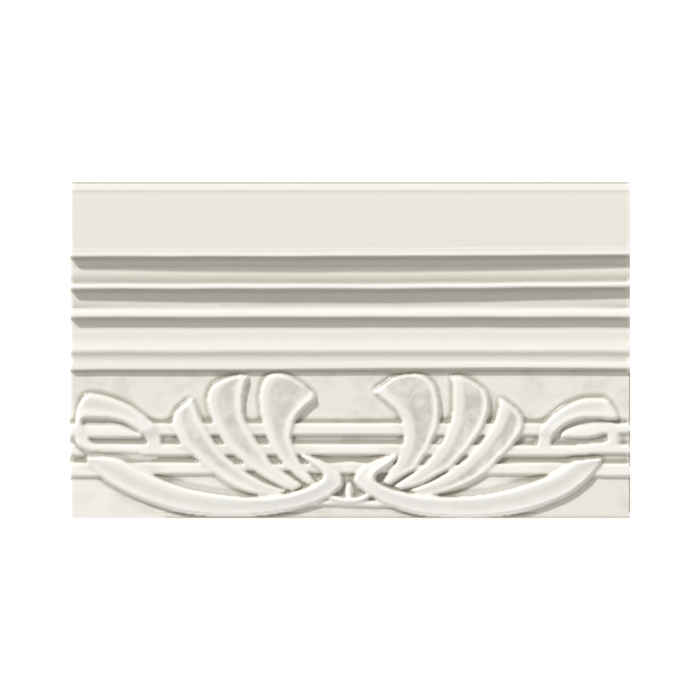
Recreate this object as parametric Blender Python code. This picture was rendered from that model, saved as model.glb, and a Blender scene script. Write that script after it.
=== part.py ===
"""Glazed porcelain relief tile: a stepped cornice moulding above a frieze of leaf fans, bands and scrolls.

The tile is one fired piece. It lies on its back: X runs along its length, Y runs up its face as it
hangs on a wall, and Z comes out of the wall. The sizes below are in millimetres and are built in metres.
"""
import math

import bmesh
import bpy
from mathutils import Vector

MM = 0.001

# Overall size of the tile
LENGTH = 250.0
HEIGHT = 150.0
THICKNESS = 24.0
GROUND = 7.0

# Stepped moulding: each edge, foot and crest is a place up the face, each level a height above the back
TOP_SLOPE_FOOT = 71.2
TOP_SLOPE_FALL = 0.6
TOP_ARRIS = 0.5
FASCIA_EDGE = 41.9
LANDING_1 = 17.7
TROUGH_START = 34.2
TROUGH_DEPTH = 1.5
NOSING_2_FOOT = 30.1
NOSING_2_CREST = 28.6
NOSING_2_EDGE = 27.5
NOSING_2_LEVEL = 19.5
LANDING_2 = 13.8
NOSING_3_FOOT = 19.4
NOSING_3_CREST = 16.4
NOSING_3_EDGE = 14.8
NOSING_3_LEVEL = 14.7
LANDING_3 = 9.9
BEAD_FOOT = 4.8
BEAD_CREST = (0.9, -0.1)
BEAD_LEVEL = 10.8
GROOVE_CENTRE = -3.3
GROOVE_LEVEL = 9.2
FILLET_CREST = -5.6
FILLET_EDGE = -8.4
FILLET_LEVEL = 10.2
ARRIS = 0.5
RISER_DRAFT = 0.5
FOOT_FILLET = 0.6
LOWER_EDGE_ROUNDING = 0.8

# Length run out past each end, which is trimmed off
END_WASTE = 3.0

# Back: shallow keys for the adhesive
KEY_COUNT = 6
KEY_PITCH = 24.0
KEY_WIDTH = 8.0
KEY_DEPTH = 1.0
KEY_END_MARGIN = 9.0

# Relief above the ground of the frieze
ROOT_DEPTH = 1.5
LEAF_RISE = 3.2
LEAF_EDGE_RISE = 2.4
LEAF_RIM = 1.7
LEAF_DISH = 0.6
DISH_LEAST_WIDTH = 4.0
DISH_FULL_WIDTH = 10.0
SCROLL_RISE = 4.0
SCROLL_DROPS = ((0.0, 1.8), (0.12, 0.6), (0.35, 0.0), (0.65, 0.5), (0.9, 1.2), (1.0, 1.8))
LOOP_RISE = 3.0
BAND_RISE = 1.8
BAND_ARRIS = 0.8
BAND_EDGE_DROP = 0.6
STRIP_RISE = 2.0
STRIP_SLOPE = 2.4
STRIP_SLOPE_FALL = 1.0
WEB_RISE = 1.6
CRESCENT_RISE = 2.6
BUD_RISE = 2.2
BUD_RADII = (2.3, 3.4)
BUD_CENTRE = (-0.3, -63.2)

# Each form is a ladder of rungs from stem to tip. A rung holds the two edge points across the form.
LEAVES = {
    "left_outer_leaf": (
        ((-33, -65.6), (-28, -63)),
        ((-42, -64.6), (-36.5, -60.1)),
        ((-52, -61), (-44.7, -55.8)),
        ((-61, -55), (-51.5, -50.9)),
        ((-69, -48), (-57, -46)),
        ((-74.5, -43), (-61, -40.5)),
        ((-77.3, -37.5), (-64, -35.5)),
        ((-79, -32.5), (-66.5, -31)),
        ((-77.5, -27.5), (-68.5, -26)),
        ((-73.5, -24), (-70, -23)),
        ((-71, -22), (-70.3, -21.7)),
    ),
    "left_middle_leaf": (
        ((-26, -63), (-21, -60.7)),
        ((-32, -60.4), (-27.5, -56.1)),
        ((-40, -55.8), (-34, -52)),
        ((-47.5, -50.3), (-38, -46)),
        ((-54.5, -43.5), (-41.5, -41)),
        ((-59, -36.5), (-44.5, -36)),
        ((-62, -29.5), (-47, -31)),
        ((-63.5, -23), (-48, -25)),
        ((-62, -17.2), (-47.5, -19)),
        ((-57.3, -13.6), (-46.5, -14.8)),
        ((-50.6, -11.6), (-45.6, -12.4)),
    ),
    "left_inner_leaf": (
        ((-18.3, -60.4), (-15.2, -59.2)),
        ((-22.8, -57.3), (-17.8, -56.2)),
        ((-28.4, -52.1), (-21, -52)),
        ((-33.3, -46), (-24, -47)),
        ((-36.7, -39.5), (-26, -40)),
        ((-38.8, -32.5), (-25.5, -34)),
        ((-40, -25), (-23, -29)),
        ((-39.8, -18), (-19.8, -25.7)),
        ((-37, -12), (-16.8, -23)),
        ((-30, -10.8), (-15.8, -22)),
        ((-22, -15), (-15.4, -21.3)),
    ),
    "right_inner_leaf": (
        ((17.6, -60.5), (14.8, -59.2)),
        ((23.8, -56.2), (17.5, -54.8)),
        ((29.2, -53), (20.8, -50)),
        ((33.8, -46.3), (23.3, -44)),
        ((36.8, -40.5), (24.3, -38.5)),
        ((39.1, -34.5), (23.8, -33)),
        ((40.1, -28), (21.8, -28.5)),
        ((39.5, -21.5), (18.5, -25.2)),
        ((37.2, -15), (15, -22.3)),
        ((30.5, -11), (12.3, -20.2)),
        ((20, -12.4), (10.8, -19)),
    ),
    "right_middle_leaf": (
        ((23, -62.4), (19.6, -60.9)),
        ((32, -59.8), (25.5, -57)),
        ((39, -55.9), (31.5, -52.8)),
        ((45.9, -51.8), (37, -47.3)),
        ((51.5, -45.5), (41, -41.5)),
        ((56.7, -39), (43.8, -36)),
        ((60.2, -32.5), (45.6, -30)),
        ((62, -26), (46.3, -24)),
        ((61.2, -19.5), (46.3, -18)),
        ((56, -15), (45.8, -14)),
        ((50, -12), (45.3, -12.3)),
    ),
    "right_outer_leaf": (
        ((34, -65.6), (26.5, -62.7)),
        ((42.5, -63.5), (34.3, -59.8)),
        ((50.8, -60.6), (41.2, -56.3)),
        ((58.4, -56.6), (48, -51.8)),
        ((65.9, -49.6), (54.5, -46.5)),
        ((72, -43), (59, -41)),
        ((75.8, -38), (62.8, -35.5)),
        ((77.5, -32.5), (65.2, -30.5)),
        ((75.4, -28), (66.5, -26)),
        ((71, -24.2), (67, -23)),
        ((68, -22.2), (66.8, -21.9)),
    ),
}
LOOPS = {
    "left_loop": (
        ((-84, -42.5), (-90.3, -43.5)),
        ((-84.8, -38), (-91, -39.5)),
        ((-87, -34), (-93.5, -37)),
        ((-90.5, -30.7), (-97, -34.4)),
        ((-95, -27.2), (-102, -31.9)),
        ((-100, -24.2), (-107, -30.7)),
        ((-106, -21.8), (-112, -30.3)),
        ((-112, -20.2), (-116, -30.2)),
        ((-117.5, -20), (-118.5, -30.3)),
        ((-120.7, -24.5), (-119.5, -31.2)),
        ((-122.3, -31), (-119.5, -33.5)),
        ((-123, -36), (-118.2, -36.5)),
        ((-122, -41.5), (-116.8, -39.5)),
        ((-118.8, -44.3), (-115.5, -41.3)),
        ((-113, -45.3), (-112.5, -42.1)),
        ((-104, -45.9), (-104, -42.1)),
    ),
    "right_loop": (
        ((83.8, -43), (89.3, -43.5)),
        ((84.5, -38), (90.2, -39.8)),
        ((86, -34.3), (92, -37)),
        ((88.7, -30.8), (95.5, -33.9)),
        ((93, -27.4), (99.5, -31.9)),
        ((98, -24.3), (103.5, -30.7)),
        ((104, -22.1), (108, -30.5)),
        ((110, -21.6), (112, -30.6)),
        ((114.6, -22.4), (114.8, -30.7)),
        ((117.8, -26.3), (117.4, -30.8)),
        ((119.9, -29.9), (118.8, -30.9)),
    ),
}
SCROLLS = {
    "left_scroll": (
        ((-117.2, -48.2), (-117.2, -49.3)),
        ((-110, -47.8), (-113, -54.2)),
        ((-103.5, -48.6), (-108.5, -58.8)),
        ((-97, -51.8), (-101, -63.2)),
        ((-90, -55.3), (-93, -66.8)),
        ((-80, -59.5), (-82, -70.5)),
        ((-70, -62.5), (-71, -72.8)),
        ((-55, -65), (-56, -74)),
        ((-40, -65.7), (-40, -73.4)),
        ((-28, -64.3), (-27, -71.5)),
        ((-19, -61.5), (-15.5, -68.3)),
        ((-14.4, -59.1), (-8, -64.5)),
        ((-12.2, -57.2), (-3.6, -60.3)),
        ((-12.4, -54.9), (-3.9, -56.2)),
        ((-14.4, -52.8), (-7, -52.9)),
        ((-17.2, -50.9), (-11.6, -49.9)),
        ((-20, -48.7), (-17, -47.9)),
        ((-21.8, -47.3), (-21.3, -47)),
    ),
    "right_scroll": (
        ((112, -48.8), (112.3, -50)),
        ((106, -48.9), (110, -53)),
        ((99.5, -49.8), (106, -58)),
        ((94, -53.8), (98.5, -64)),
        ((87, -57), (90, -68)),
        ((79, -59.8), (80.5, -71.2)),
        ((69, -62.8), (70, -73.3)),
        ((58, -64.8), (57, -74.4)),
        ((45, -65.6), (43, -74.3)),
        ((33, -65), (29, -72.8)),
        ((22, -63.2), (17, -69)),
        ((15, -60.8), (7.5, -64)),
        ((11.7, -58.4), (2.6, -59.7)),
        ((11.6, -56), (2.1, -56.6)),
        ((13.8, -53.6), (5.4, -53)),
        ((17, -51.8), (10.4, -49.7)),
        ((19.6, -49.4), (15.8, -47.7)),
        ((21.2, -47.5), (20.6, -47.1)),
    ),
}
BANDS = {
    "upper_band": (((-88.5, -32.9), (-88.5, -38.3)), ((0, -32.7), (0, -38.1)), ((87, -32.8), (87, -38.3))),
    "upper_band_left_end": (((-127, -33), (-127, -38.4)), ((-120.8, -33), (-120.8, -38.4))),
    "upper_band_right_end": (((117, -33.1), (117, -37.4)), ((127, -32.7), (127, -37.2))),
    "middle_band_left_end": (((-127, -42.2), (-127, -47.1)), ((-123.2, -42.2), (-119.2, -47.3))),
    "middle_band": (
        ((-116, -42.2), (-116, -45.2)),
        ((-106, -42.2), (-106, -45.9)),
        ((-93, -42.2), (-93, -46.3)),
        ((-85, -42.2), (-85, -47.2)),
        ((0, -42), (0, -46.9)),
        ((88, -42.5), (88, -47.3)),
        ((110, -42.4), (110, -46.5)),
        ((127, -42.3), (127, -46.7)),
    ),
    "lower_band": (
        ((-127, -50.4), (-127, -56.6)),
        ((-112, -50.3), (-112, -56.6)),
        ((-95, -50.1), (-95, -55.6)),
        ((-62, -50.5), (-62, -55.5)),
        ((-50, -51), (-50, -54)),
        ((-28, -51.1), (-28, -53.9)),
        ((-20, -50.9), (-20, -54.7)),
        ((0, -50), (0, -55.3)),
        ((18, -50.9), (18, -54.5)),
        ((28, -51.4), (28, -53.8)),
        ((50, -51.3), (50, -54)),
        ((62, -50.8), (62, -55.7)),
        ((95, -50.2), (95, -55.7)),
        ((112, -50.6), (112, -56.6)),
        ((127, -50.6), (127, -56.6)),
    ),
    "left_loop_strip": (
        ((-122, -33.2), (-120.5, -39.2)),
        ((-110, -33), (-110, -39.2)),
        ((-103, -33.4), (-103, -39.2)),
        ((-97, -35.7), (-97, -39.2)),
        ((-92.8, -38.4), (-92.5, -39.2)),
    ),
    "right_loop_strip": (
        ((95, -36.2), (94.5, -39.1)),
        ((100, -33.9), (100, -39.2)),
        ((108, -32.4), (108, -38.9)),
        ((114, -32.1), (112.5, -37.7)),
        ((118.4, -32.6), (114.6, -37.4)),
        ((120.5, -37), (115.2, -38.4)),
        ((121, -41), (115, -40.4)),
        ((119, -45.6), (112.5, -41.3)),
        ((111, -46.4), (106, -41.8)),
        ((103, -46.6), (101, -41.9)),
    ),
}
WEB = (
    ((-19, -68.2), (-19, -69.2)),
    ((-12, -67), (-12, -69.5)),
    ((-6, -67.2), (-6, -69.7)),
    ((0, -67.8), (0, -69.9)),
    ((7, -67.3), (7, -70.2)),
    ((12, -67.5), (12, -70.3)),
    ((19, -68.9), (19, -70)),
)
CRESCENT = (
    ((-10.7, -64.7), (-10.9, -65.3)),
    ((-7.2, -65.1), (-7.8, -67.3)),
    ((-2.2, -66.2), (-2.2, -68.4)),
    ((2.8, -66), (3.2, -68.2)),
    ((6.6, -64.7), (7.4, -66.8)),
    ((9.2, -64.2), (9.6, -64.8)),
)

SMOOTH_STEPS = 2
SLOPE_STEPS = 4


def clear_scene():
    """Start from an empty scene."""
    for item in list(bpy.data.objects):
        bpy.data.objects.remove(item, do_unlink=True)


def new_collection(name):
    collection = bpy.data.collections.new(name)
    bpy.context.scene.collection.children.link(collection)
    return collection


def glazed_porcelain():
    """Ivory gloss glaze over a white body."""
    material = bpy.data.materials.new("glazed_porcelain")
    material.use_nodes = True
    shader = material.node_tree.nodes["Principled BSDF"]
    shader.inputs["Base Color"].default_value = (0.82, 0.80, 0.72, 1.0)
    shader.inputs["Roughness"].default_value = 0.12
    shader.inputs["Metallic"].default_value = 0.0
    return material


def mesh_object(name, mesh, collection):
    item = bpy.data.objects.new(name, mesh)
    collection.objects.link(item)
    return item


def rounded_step(edge, upper, lower):
    """Points over a step's rounded edge, down its drafted riser and into the fillet at its foot."""
    foot = edge - RISER_DRAFT
    return [
        (edge + ARRIS, upper),
        (edge + ARRIS * 0.3, upper - ARRIS * 0.3),
        (edge, upper - ARRIS),
        (foot, lower + FOOT_FILLET),
        (foot - FOOT_FILLET, lower),
    ]


def soft_slope(start, end):
    """Points on a soft double curve, level at both ends."""
    points = []
    for i in range(SLOPE_STEPS + 1):
        share = i / SLOPE_STEPS
        rise = (1 - math.cos(math.pi * share)) / 2
        points.append((start[0] + (end[0] - start[0]) * share, start[1] + (end[1] - start[1]) * rise))
    return points


def moulding_section():
    """The tile's section, from the upper back edge over the face to the lower back edge."""
    top = HEIGHT / 2
    bottom = -HEIGHT / 2
    points = [(top, 0.0)]
    points.append((top, THICKNESS - TOP_SLOPE_FALL - TOP_ARRIS))
    points.append((top - TOP_ARRIS, THICKNESS - TOP_SLOPE_FALL))
    points.append((TOP_SLOPE_FOOT, THICKNESS))
    points += rounded_step(FASCIA_EDGE, THICKNESS, LANDING_1)
    trough = (NOSING_2_FOOT, LANDING_1 - TROUGH_DEPTH)
    points += soft_slope((TROUGH_START, LANDING_1), trough)[:-1]
    points += soft_slope(trough, (NOSING_2_CREST, NOSING_2_LEVEL))
    points += rounded_step(NOSING_2_EDGE, NOSING_2_LEVEL, LANDING_2)
    points += soft_slope((NOSING_3_FOOT, LANDING_2), (NOSING_3_CREST, NOSING_3_LEVEL))
    points += rounded_step(NOSING_3_EDGE, NOSING_3_LEVEL, LANDING_3)
    points += soft_slope((BEAD_FOOT, LANDING_3), (BEAD_CREST[0], BEAD_LEVEL))
    points += soft_slope((BEAD_CREST[1], BEAD_LEVEL), (GROOVE_CENTRE, GROOVE_LEVEL))
    points += soft_slope((GROOVE_CENTRE, GROOVE_LEVEL), (FILLET_CREST, FILLET_LEVEL))[1:]
    points += rounded_step(FILLET_EDGE, FILLET_LEVEL, GROUND)
    points.append((bottom + LOWER_EDGE_ROUNDING, GROUND))
    points.append((bottom, GROUND - LOWER_EDGE_ROUNDING))
    points.append((bottom, 0.0))
    return points


def extruded_section(name, section, half_length, collection):
    """A flat curve with the section's outline, extruded both ways along X and made a closed mesh."""
    curve = bpy.data.curves.new(name + "_outline", "CURVE")
    curve.dimensions = "2D"
    curve.fill_mode = "BOTH"
    curve.extrude = half_length * MM
    spline = curve.splines.new("POLY")
    spline.points.add(len(section) - 1)
    for point, (y, z) in zip(spline.points, section):
        point.co = (y * MM, z * MM, 0.0, 1.0)
    spline.use_cyclic_u = True
    outline = bpy.data.objects.new(name + "_outline", curve)
    outline.rotation_euler = (math.pi / 2, 0.0, math.pi / 2)
    collection.objects.link(outline)
    bpy.context.view_layer.update()
    evaluated = outline.evaluated_get(bpy.context.evaluated_depsgraph_get())
    mesh = bpy.data.meshes.new_from_object(evaluated)
    mesh.transform(outline.matrix_world)
    bpy.data.objects.remove(outline, do_unlink=True)
    shell = bmesh.new()
    shell.from_mesh(mesh)
    bmesh.ops.remove_doubles(shell, verts=shell.verts, dist=0.00001)
    bmesh.ops.recalc_face_normals(shell, faces=shell.faces)
    shell.to_mesh(mesh)
    shell.free()
    return mesh_object(name, mesh, collection)


def smooth_line(points):
    """A Catmull-Rom curve through the points, with SMOOTH_STEPS stretches between each two."""
    vectors = [Vector(point) for point in points]
    last = len(vectors) - 1
    line = []
    for i in range(last):
        before = vectors[max(i - 1, 0)]
        start = vectors[i]
        end = vectors[i + 1]
        after = vectors[min(i + 2, last)]
        for step in range(SMOOTH_STEPS):
            t = step / SMOOTH_STEPS
            line.append(
                0.5 * (2 * start + (end - before) * t
                       + (2 * before - 5 * start + 4 * end - after) * t ** 2
                       + (3 * start - before - 3 * end + after) * t ** 3)
            )
    line.append(vectors[last])
    return line


def dished(width, rise, edge_rise):
    """Across a leaf: a rounded rim along each edge and a shallow dish between them."""
    rim = min(LEAF_RIM, width * 0.3)
    fullness = (width - DISH_LEAST_WIDTH) / (DISH_FULL_WIDTH - DISH_LEAST_WIDTH)
    dish = LEAF_DISH * min(max(fullness, 0.0), 1.0)
    return [
        (0.0, edge_rise),
        (rim, rise),
        (width / 2, rise - dish),
        (width - rim, rise),
        (width, edge_rise),
    ]


def leaf_section(width):
    return dished(width, LEAF_RISE, LEAF_EDGE_RISE)


def loop_section(width):
    return dished(width, LOOP_RISE, LEAF_EDGE_RISE)


def scroll_section(width):
    """Across a scroll: a crest near the upper edge, falling to an arris along the lower edge."""
    return [(width * share, SCROLL_RISE - drop) for share, drop in SCROLL_DROPS]


def flat_topped(width, rise):
    arris = min(BAND_ARRIS, width * 0.4)
    edge_rise = rise - BAND_EDGE_DROP
    return [(0.0, edge_rise), (arris, rise), (width - arris, rise), (width, edge_rise)]


def band_section(width):
    return flat_topped(width, BAND_RISE)


def strip_section(width):
    """Across a strip that slopes down under the lobe above it."""
    slope = min(STRIP_SLOPE, width * 0.4)
    arris = min(BAND_ARRIS, width * 0.3)
    return [
        (0.0, STRIP_RISE - STRIP_SLOPE_FALL),
        (slope, STRIP_RISE),
        (width - arris, STRIP_RISE),
        (width, STRIP_RISE - BAND_EDGE_DROP),
    ]


def web_section(width):
    return flat_topped(width, WEB_RISE)


def crescent_section(width):
    return flat_topped(width, CRESCENT_RISE)


def lofted_form(name, rungs, section, collection):
    """A closed solid lofted along a ladder of rungs, rooted below the ground of the frieze."""
    lefts = smooth_line([rung[0] for rung in rungs])
    rights = smooth_line([rung[1] for rung in rungs])
    solid = bmesh.new()
    rows = []
    for left, right in zip(lefts, rights):
        width = (right - left).length
        across = (right - left) / width
        root = GROUND - ROOT_DEPTH
        row = [(left, root)]
        row += [(left + across * offset, GROUND + rise) for offset, rise in section(width)]
        row.append((right, root))
        rows.append([solid.verts.new((at.x * MM, at.y * MM, z * MM)) for at, z in row])
    for near, far in zip(rows, rows[1:]):
        for i in range(len(near)):
            j = (i + 1) % len(near)
            solid.faces.new((near[i], near[j], far[j], far[i]))
    solid.faces.new(rows[0])
    solid.faces.new(rows[-1])
    bmesh.ops.recalc_face_normals(solid, faces=solid.faces)
    mesh = bpy.data.meshes.new(name)
    solid.to_mesh(mesh)
    solid.free()
    return mesh_object(name, mesh, collection)


def bud(collection):
    """The small oval bud between the two scrolls."""
    bpy.ops.mesh.primitive_uv_sphere_add(segments=14, ring_count=8, radius=1.0)
    item = bpy.context.active_object
    item.name = "bud"
    item.data.transform(item.matrix_world)
    for vertex in item.data.vertices:
        vertex.co.x = (BUD_CENTRE[0] + vertex.co.x * BUD_RADII[0]) * MM
        vertex.co.y = (BUD_CENTRE[1] + vertex.co.y * BUD_RADII[1]) * MM
        vertex.co.z = (GROUND + vertex.co.z * BUD_RISE) * MM
    for holder in list(item.users_collection):
        holder.objects.unlink(item)
    collection.objects.link(item)
    return item


def block(name, centre, size, collection):
    solid = bmesh.new()
    bmesh.ops.create_cube(solid, size=1.0)
    bmesh.ops.scale(solid, vec=[side * MM for side in size], verts=solid.verts)
    bmesh.ops.translate(solid, vec=[place * MM for place in centre], verts=solid.verts)
    mesh = bpy.data.meshes.new(name)
    solid.to_mesh(mesh)
    solid.free()
    return mesh_object(name, mesh, collection)


def frieze_forms(collection):
    for name, rungs in BANDS.items():
        section = strip_section if name.endswith("strip") else band_section
        lofted_form(name, rungs, section, collection)
    for name, rungs in LOOPS.items():
        lofted_form(name, rungs, loop_section, collection)
    for name, rungs in LEAVES.items():
        lofted_form(name, rungs, leaf_section, collection)
    for name, rungs in SCROLLS.items():
        lofted_form(name, rungs, scroll_section, collection)
    lofted_form("web", WEB, web_section, collection)
    lofted_form("crescent", CRESCENT, crescent_section, collection)
    bud(collection)


def back_keys(collection):
    """Cutters for the shallow keys in the back, which stop short of the tile's ends."""
    for i in range(KEY_COUNT):
        place = (i - (KEY_COUNT - 1) / 2) * KEY_PITCH
        size = (LENGTH - 2 * KEY_END_MARGIN, KEY_WIDTH, 2 * KEY_DEPTH)
        block(f"back_key_{i + 1}", (0.0, place, 0.0), size, collection)


def add_boolean(item, operation, tool):
    """Join, cut or trim the item with one object or with all the objects of a collection."""
    modifier = item.modifiers.new(operation.lower(), "BOOLEAN")
    modifier.operation = operation
    modifier.solver = "EXACT"
    if isinstance(tool, bpy.types.Collection):
        modifier.operand_type = "COLLECTION"
        modifier.collection = tool
    else:
        modifier.object = tool


def build_tile():
    tiles = new_collection("porcelain_tile")
    relief = new_collection("relief_forms")
    keys = new_collection("back_keys")
    blanks = new_collection("blanks")
    tile = extruded_section("relief_tile", moulding_section(), LENGTH / 2 + END_WASTE, tiles)
    frieze_forms(relief)
    back_keys(keys)
    blank = block("end_trim", (0.0, 0.0, 0.0), (LENGTH, HEIGHT * 1.2, THICKNESS * 3), blanks)
    add_boolean(tile, "UNION", relief)
    add_boolean(tile, "INTERSECT", blank)
    add_boolean(tile, "DIFFERENCE", keys)
    for collection in (relief, keys, blanks):
        for guide in collection.objects:
            guide.hide_render = True
            guide.display_type = "WIRE"
    tile.data.materials.append(glazed_porcelain())
    return tile


clear_scene()
build_tile()
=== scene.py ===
# %% [markdown]
# # A glazed porcelain relief tile
# This lesson dresses one wall tile: a stepped cornice moulding over a frieze of leaf fans, bands and
# scrolls, pressed from one piece of white clay, glazed in ivory and fired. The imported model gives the
# tile's size and place, and this script gives it the soft, melted surface of the glaze.

# %% Load the frame and note its box
import math

import bmesh
import bpy
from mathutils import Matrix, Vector, noise


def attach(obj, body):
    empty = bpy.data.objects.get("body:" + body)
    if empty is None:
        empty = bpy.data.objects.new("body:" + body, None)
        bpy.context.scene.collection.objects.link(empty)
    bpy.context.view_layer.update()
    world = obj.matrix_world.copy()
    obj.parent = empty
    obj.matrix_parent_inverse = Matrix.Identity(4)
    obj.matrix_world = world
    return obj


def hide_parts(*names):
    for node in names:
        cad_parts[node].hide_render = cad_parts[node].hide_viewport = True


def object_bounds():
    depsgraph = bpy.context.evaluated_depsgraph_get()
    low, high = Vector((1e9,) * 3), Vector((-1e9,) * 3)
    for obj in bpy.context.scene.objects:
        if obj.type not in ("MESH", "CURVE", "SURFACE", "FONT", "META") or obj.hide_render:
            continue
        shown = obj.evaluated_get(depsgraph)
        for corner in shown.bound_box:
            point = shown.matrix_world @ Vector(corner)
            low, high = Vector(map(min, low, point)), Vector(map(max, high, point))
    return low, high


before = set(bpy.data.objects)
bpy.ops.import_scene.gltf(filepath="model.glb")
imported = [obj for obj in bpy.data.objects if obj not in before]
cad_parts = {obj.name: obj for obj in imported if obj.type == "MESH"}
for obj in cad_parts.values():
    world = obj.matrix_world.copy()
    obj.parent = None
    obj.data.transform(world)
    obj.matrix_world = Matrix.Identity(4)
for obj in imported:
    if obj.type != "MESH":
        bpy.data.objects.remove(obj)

MM = 0.001
CAD_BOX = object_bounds()
LOW, HIGH = CAD_BOX
LENGTH = (HIGH.x - LOW.x) / MM
HEIGHT = (HIGH.y - LOW.y) / MM
THICKNESS = (HIGH.z - LOW.z) / MM
print(f"tile {LENGTH:.1f} x {HEIGHT:.1f} x {THICKNESS:.1f} mm")

# %% [markdown]
# ## The camera
# A catalogue picture of a tile is taken square on, from far away, so its edges stay parallel. An
# orthographic camera does the same. The tile is 560 of the picture's 700 pixels wide.

# %% Look straight down at the tile
PICTURE_WIDTH_PX = 700
TILE_WIDTH_PX = 560
CAMERA_HEIGHT = 1.5

camera_data = bpy.data.cameras.new("camera")
camera_data.type = "ORTHO"
camera_data.ortho_scale = LENGTH * MM * PICTURE_WIDTH_PX / TILE_WIDTH_PX
camera = bpy.data.objects.new("camera", camera_data)
camera.location = (0.0, 0.0, CAMERA_HEIGHT)
bpy.context.scene.collection.objects.link(camera)
bpy.context.scene.camera = camera
bpy.context.scene.view_settings.view_transform = "Standard"
print(f"camera sees {camera_data.ortho_scale / MM:.1f} mm across")

# %% [markdown]
# ## The section of the moulding
# A plasterer runs a cornice by pulling one metal profile along its length. The tile's mould was made
# the same way, so one line across the tile says the height of every step. A curve or a bevel could
# round the edges too, but points worked out in a few short functions keep every level exact. Rounded
# edges get several points, and long flats are split so that the glaze can ripple on them.

# %% Places up the face and levels above the back, in millimetres
GROUND = 7.0
TOP_SLOPE_FOOT = 71.2
TOP_SLOPE_FALL = 0.6
TOP_ARRIS = 0.5
TOP_SLOPE_SHARES = (0.15, 0.9, 1.0)
TOP_LINE = ((0.3, 0.15), (1.0, 0.15), (3.0, 0.0))
FASCIA_EDGE = 41.9
FASCIA_LIP = 0.12
FASCIA_LIP_LINE = ((4.4, 0.0), (3.4, 0.45), (2.1, 0.4), (1.3, 0.62), (0.65, 0.97))
LANDING_1 = 17.7
TROUGH_START = 34.2
TROUGH_DEPTH = 1.5
NOSING_2_FOOT = 30.1
NOSING_2_CREST = 28.6
NOSING_2_EDGE = 27.5
NOSING_2_LEVEL = 19.5
LANDING_2 = 13.8
NOSING_3_FOOT = 19.4
NOSING_3_CREST = 16.4
NOSING_3_EDGE = 14.8
NOSING_3_LEVEL = 14.7
LANDING_3 = 9.9
BEAD_FOOT = 4.8
BEAD_CREST = (0.9, -0.1)
BEAD_LEVEL = 10.8
GROOVE_CENTRE = -3.3
GROOVE_LEVEL = 9.2
FILLET_CREST = -5.6
FILLET_EDGE = -8.4
FILLET_LEVEL = 10.2
ARRIS = 0.5
RISER_DRAFT = 0.5
COVE = 0.9
LOWER_EDGE_ROUNDING = 0.8
LONGEST_FLAT = 4.0
LONGEST_TREAD = 1.8
FRIEZE_ROW = 0.55
print(f"moulding falls from {THICKNESS:.1f} mm to {GROUND:.1f} mm above the back")

# %% Helpers for arcs, steps and slopes
ARC_STEPS = 3
SLOPE_STEPS = 4


def arc(centre, radius, start, end):
    """Points on an arc; the angles are in degrees."""
    points = []
    for i in range(ARC_STEPS + 1):
        angle = math.radians(start + (end - start) * i / ARC_STEPS)
        points.append((centre[0] + radius * math.cos(angle), centre[1] + radius * math.sin(angle)))
    return points


def rounded_step(edge, upper, lower):
    """Over the rounded edge of a step, down its riser and round the cove at its foot."""
    over = arc((edge + ARRIS, upper - ARRIS), ARRIS, 90, 180)
    under = arc((edge - RISER_DRAFT - COVE, lower + COVE), COVE, 0, -90)
    return over + under


def soft_slope(start, end):
    """A soft double curve, level at both ends."""
    points = []
    for i in range(SLOPE_STEPS + 1):
        share = i / SLOPE_STEPS
        rise = (1 - math.cos(math.pi * share)) / 2
        points.append((start[0] + (end[0] - start[0]) * share, start[1] + (end[1] - start[1]) * rise))
    return points


def split_long(points, longest):
    """The same line with points added wherever a stretch is too long."""
    line = [points[0]]
    for (y0, z0), (y1, z1) in zip(points, points[1:]):
        parts = max(1, math.ceil(math.hypot(y1 - y0, z1 - z0) / longest))
        line += [(y0 + (y1 - y0) * i / parts, z0 + (z1 - z0) * i / parts) for i in range(1, parts + 1)]
    return line


print(f"a step's edge has {len(arc((0, 0), ARRIS, 90, 180))} points")

# %% The section from the upper edge to the lower edge


def moulding_section():
    """Top band with its sloped rim and raised lip, two nosings, bead, groove and fillet."""
    plain = THICKNESS - FASCIA_LIP
    corner = (HEIGHT / 2 - TOP_ARRIS, plain - TOP_SLOPE_FALL - TOP_ARRIS)
    face = arc(corner, TOP_ARRIS, 0, 75)
    top_y, top_z = face[-1]
    for share in TOP_SLOPE_SHARES:
        face.append((top_y + (TOP_SLOPE_FOOT - top_y) * share, top_z + (plain - top_z) * share))
    face += [(TOP_SLOPE_FOOT - inward, plain - depth) for inward, depth in TOP_LINE]
    face += [(FASCIA_EDGE + over, plain + FASCIA_LIP * rise) for over, rise in FASCIA_LIP_LINE]
    points = rounded_step(FASCIA_EDGE, THICKNESS, LANDING_1)
    trough = (NOSING_2_FOOT, LANDING_1 - TROUGH_DEPTH)
    points += soft_slope((TROUGH_START, LANDING_1), trough)[:-1]
    points += soft_slope(trough, (NOSING_2_CREST, NOSING_2_LEVEL))
    points += rounded_step(NOSING_2_EDGE, NOSING_2_LEVEL, LANDING_2)
    points += soft_slope((NOSING_3_FOOT, LANDING_2), (NOSING_3_CREST, NOSING_3_LEVEL))
    points += rounded_step(NOSING_3_EDGE, NOSING_3_LEVEL, LANDING_3)
    points += soft_slope((BEAD_FOOT, LANDING_3), (BEAD_CREST[0], BEAD_LEVEL))
    points += soft_slope((BEAD_CREST[1], BEAD_LEVEL), (GROOVE_CENTRE, GROOVE_LEVEL))
    points += soft_slope((GROOVE_CENTRE, GROOVE_LEVEL), (FILLET_CREST, FILLET_LEVEL))[1:]
    points += rounded_step(FILLET_EDGE, FILLET_LEVEL, GROUND)
    return split_long(face, LONGEST_FLAT) + split_long(points, LONGEST_TREAD)


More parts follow.
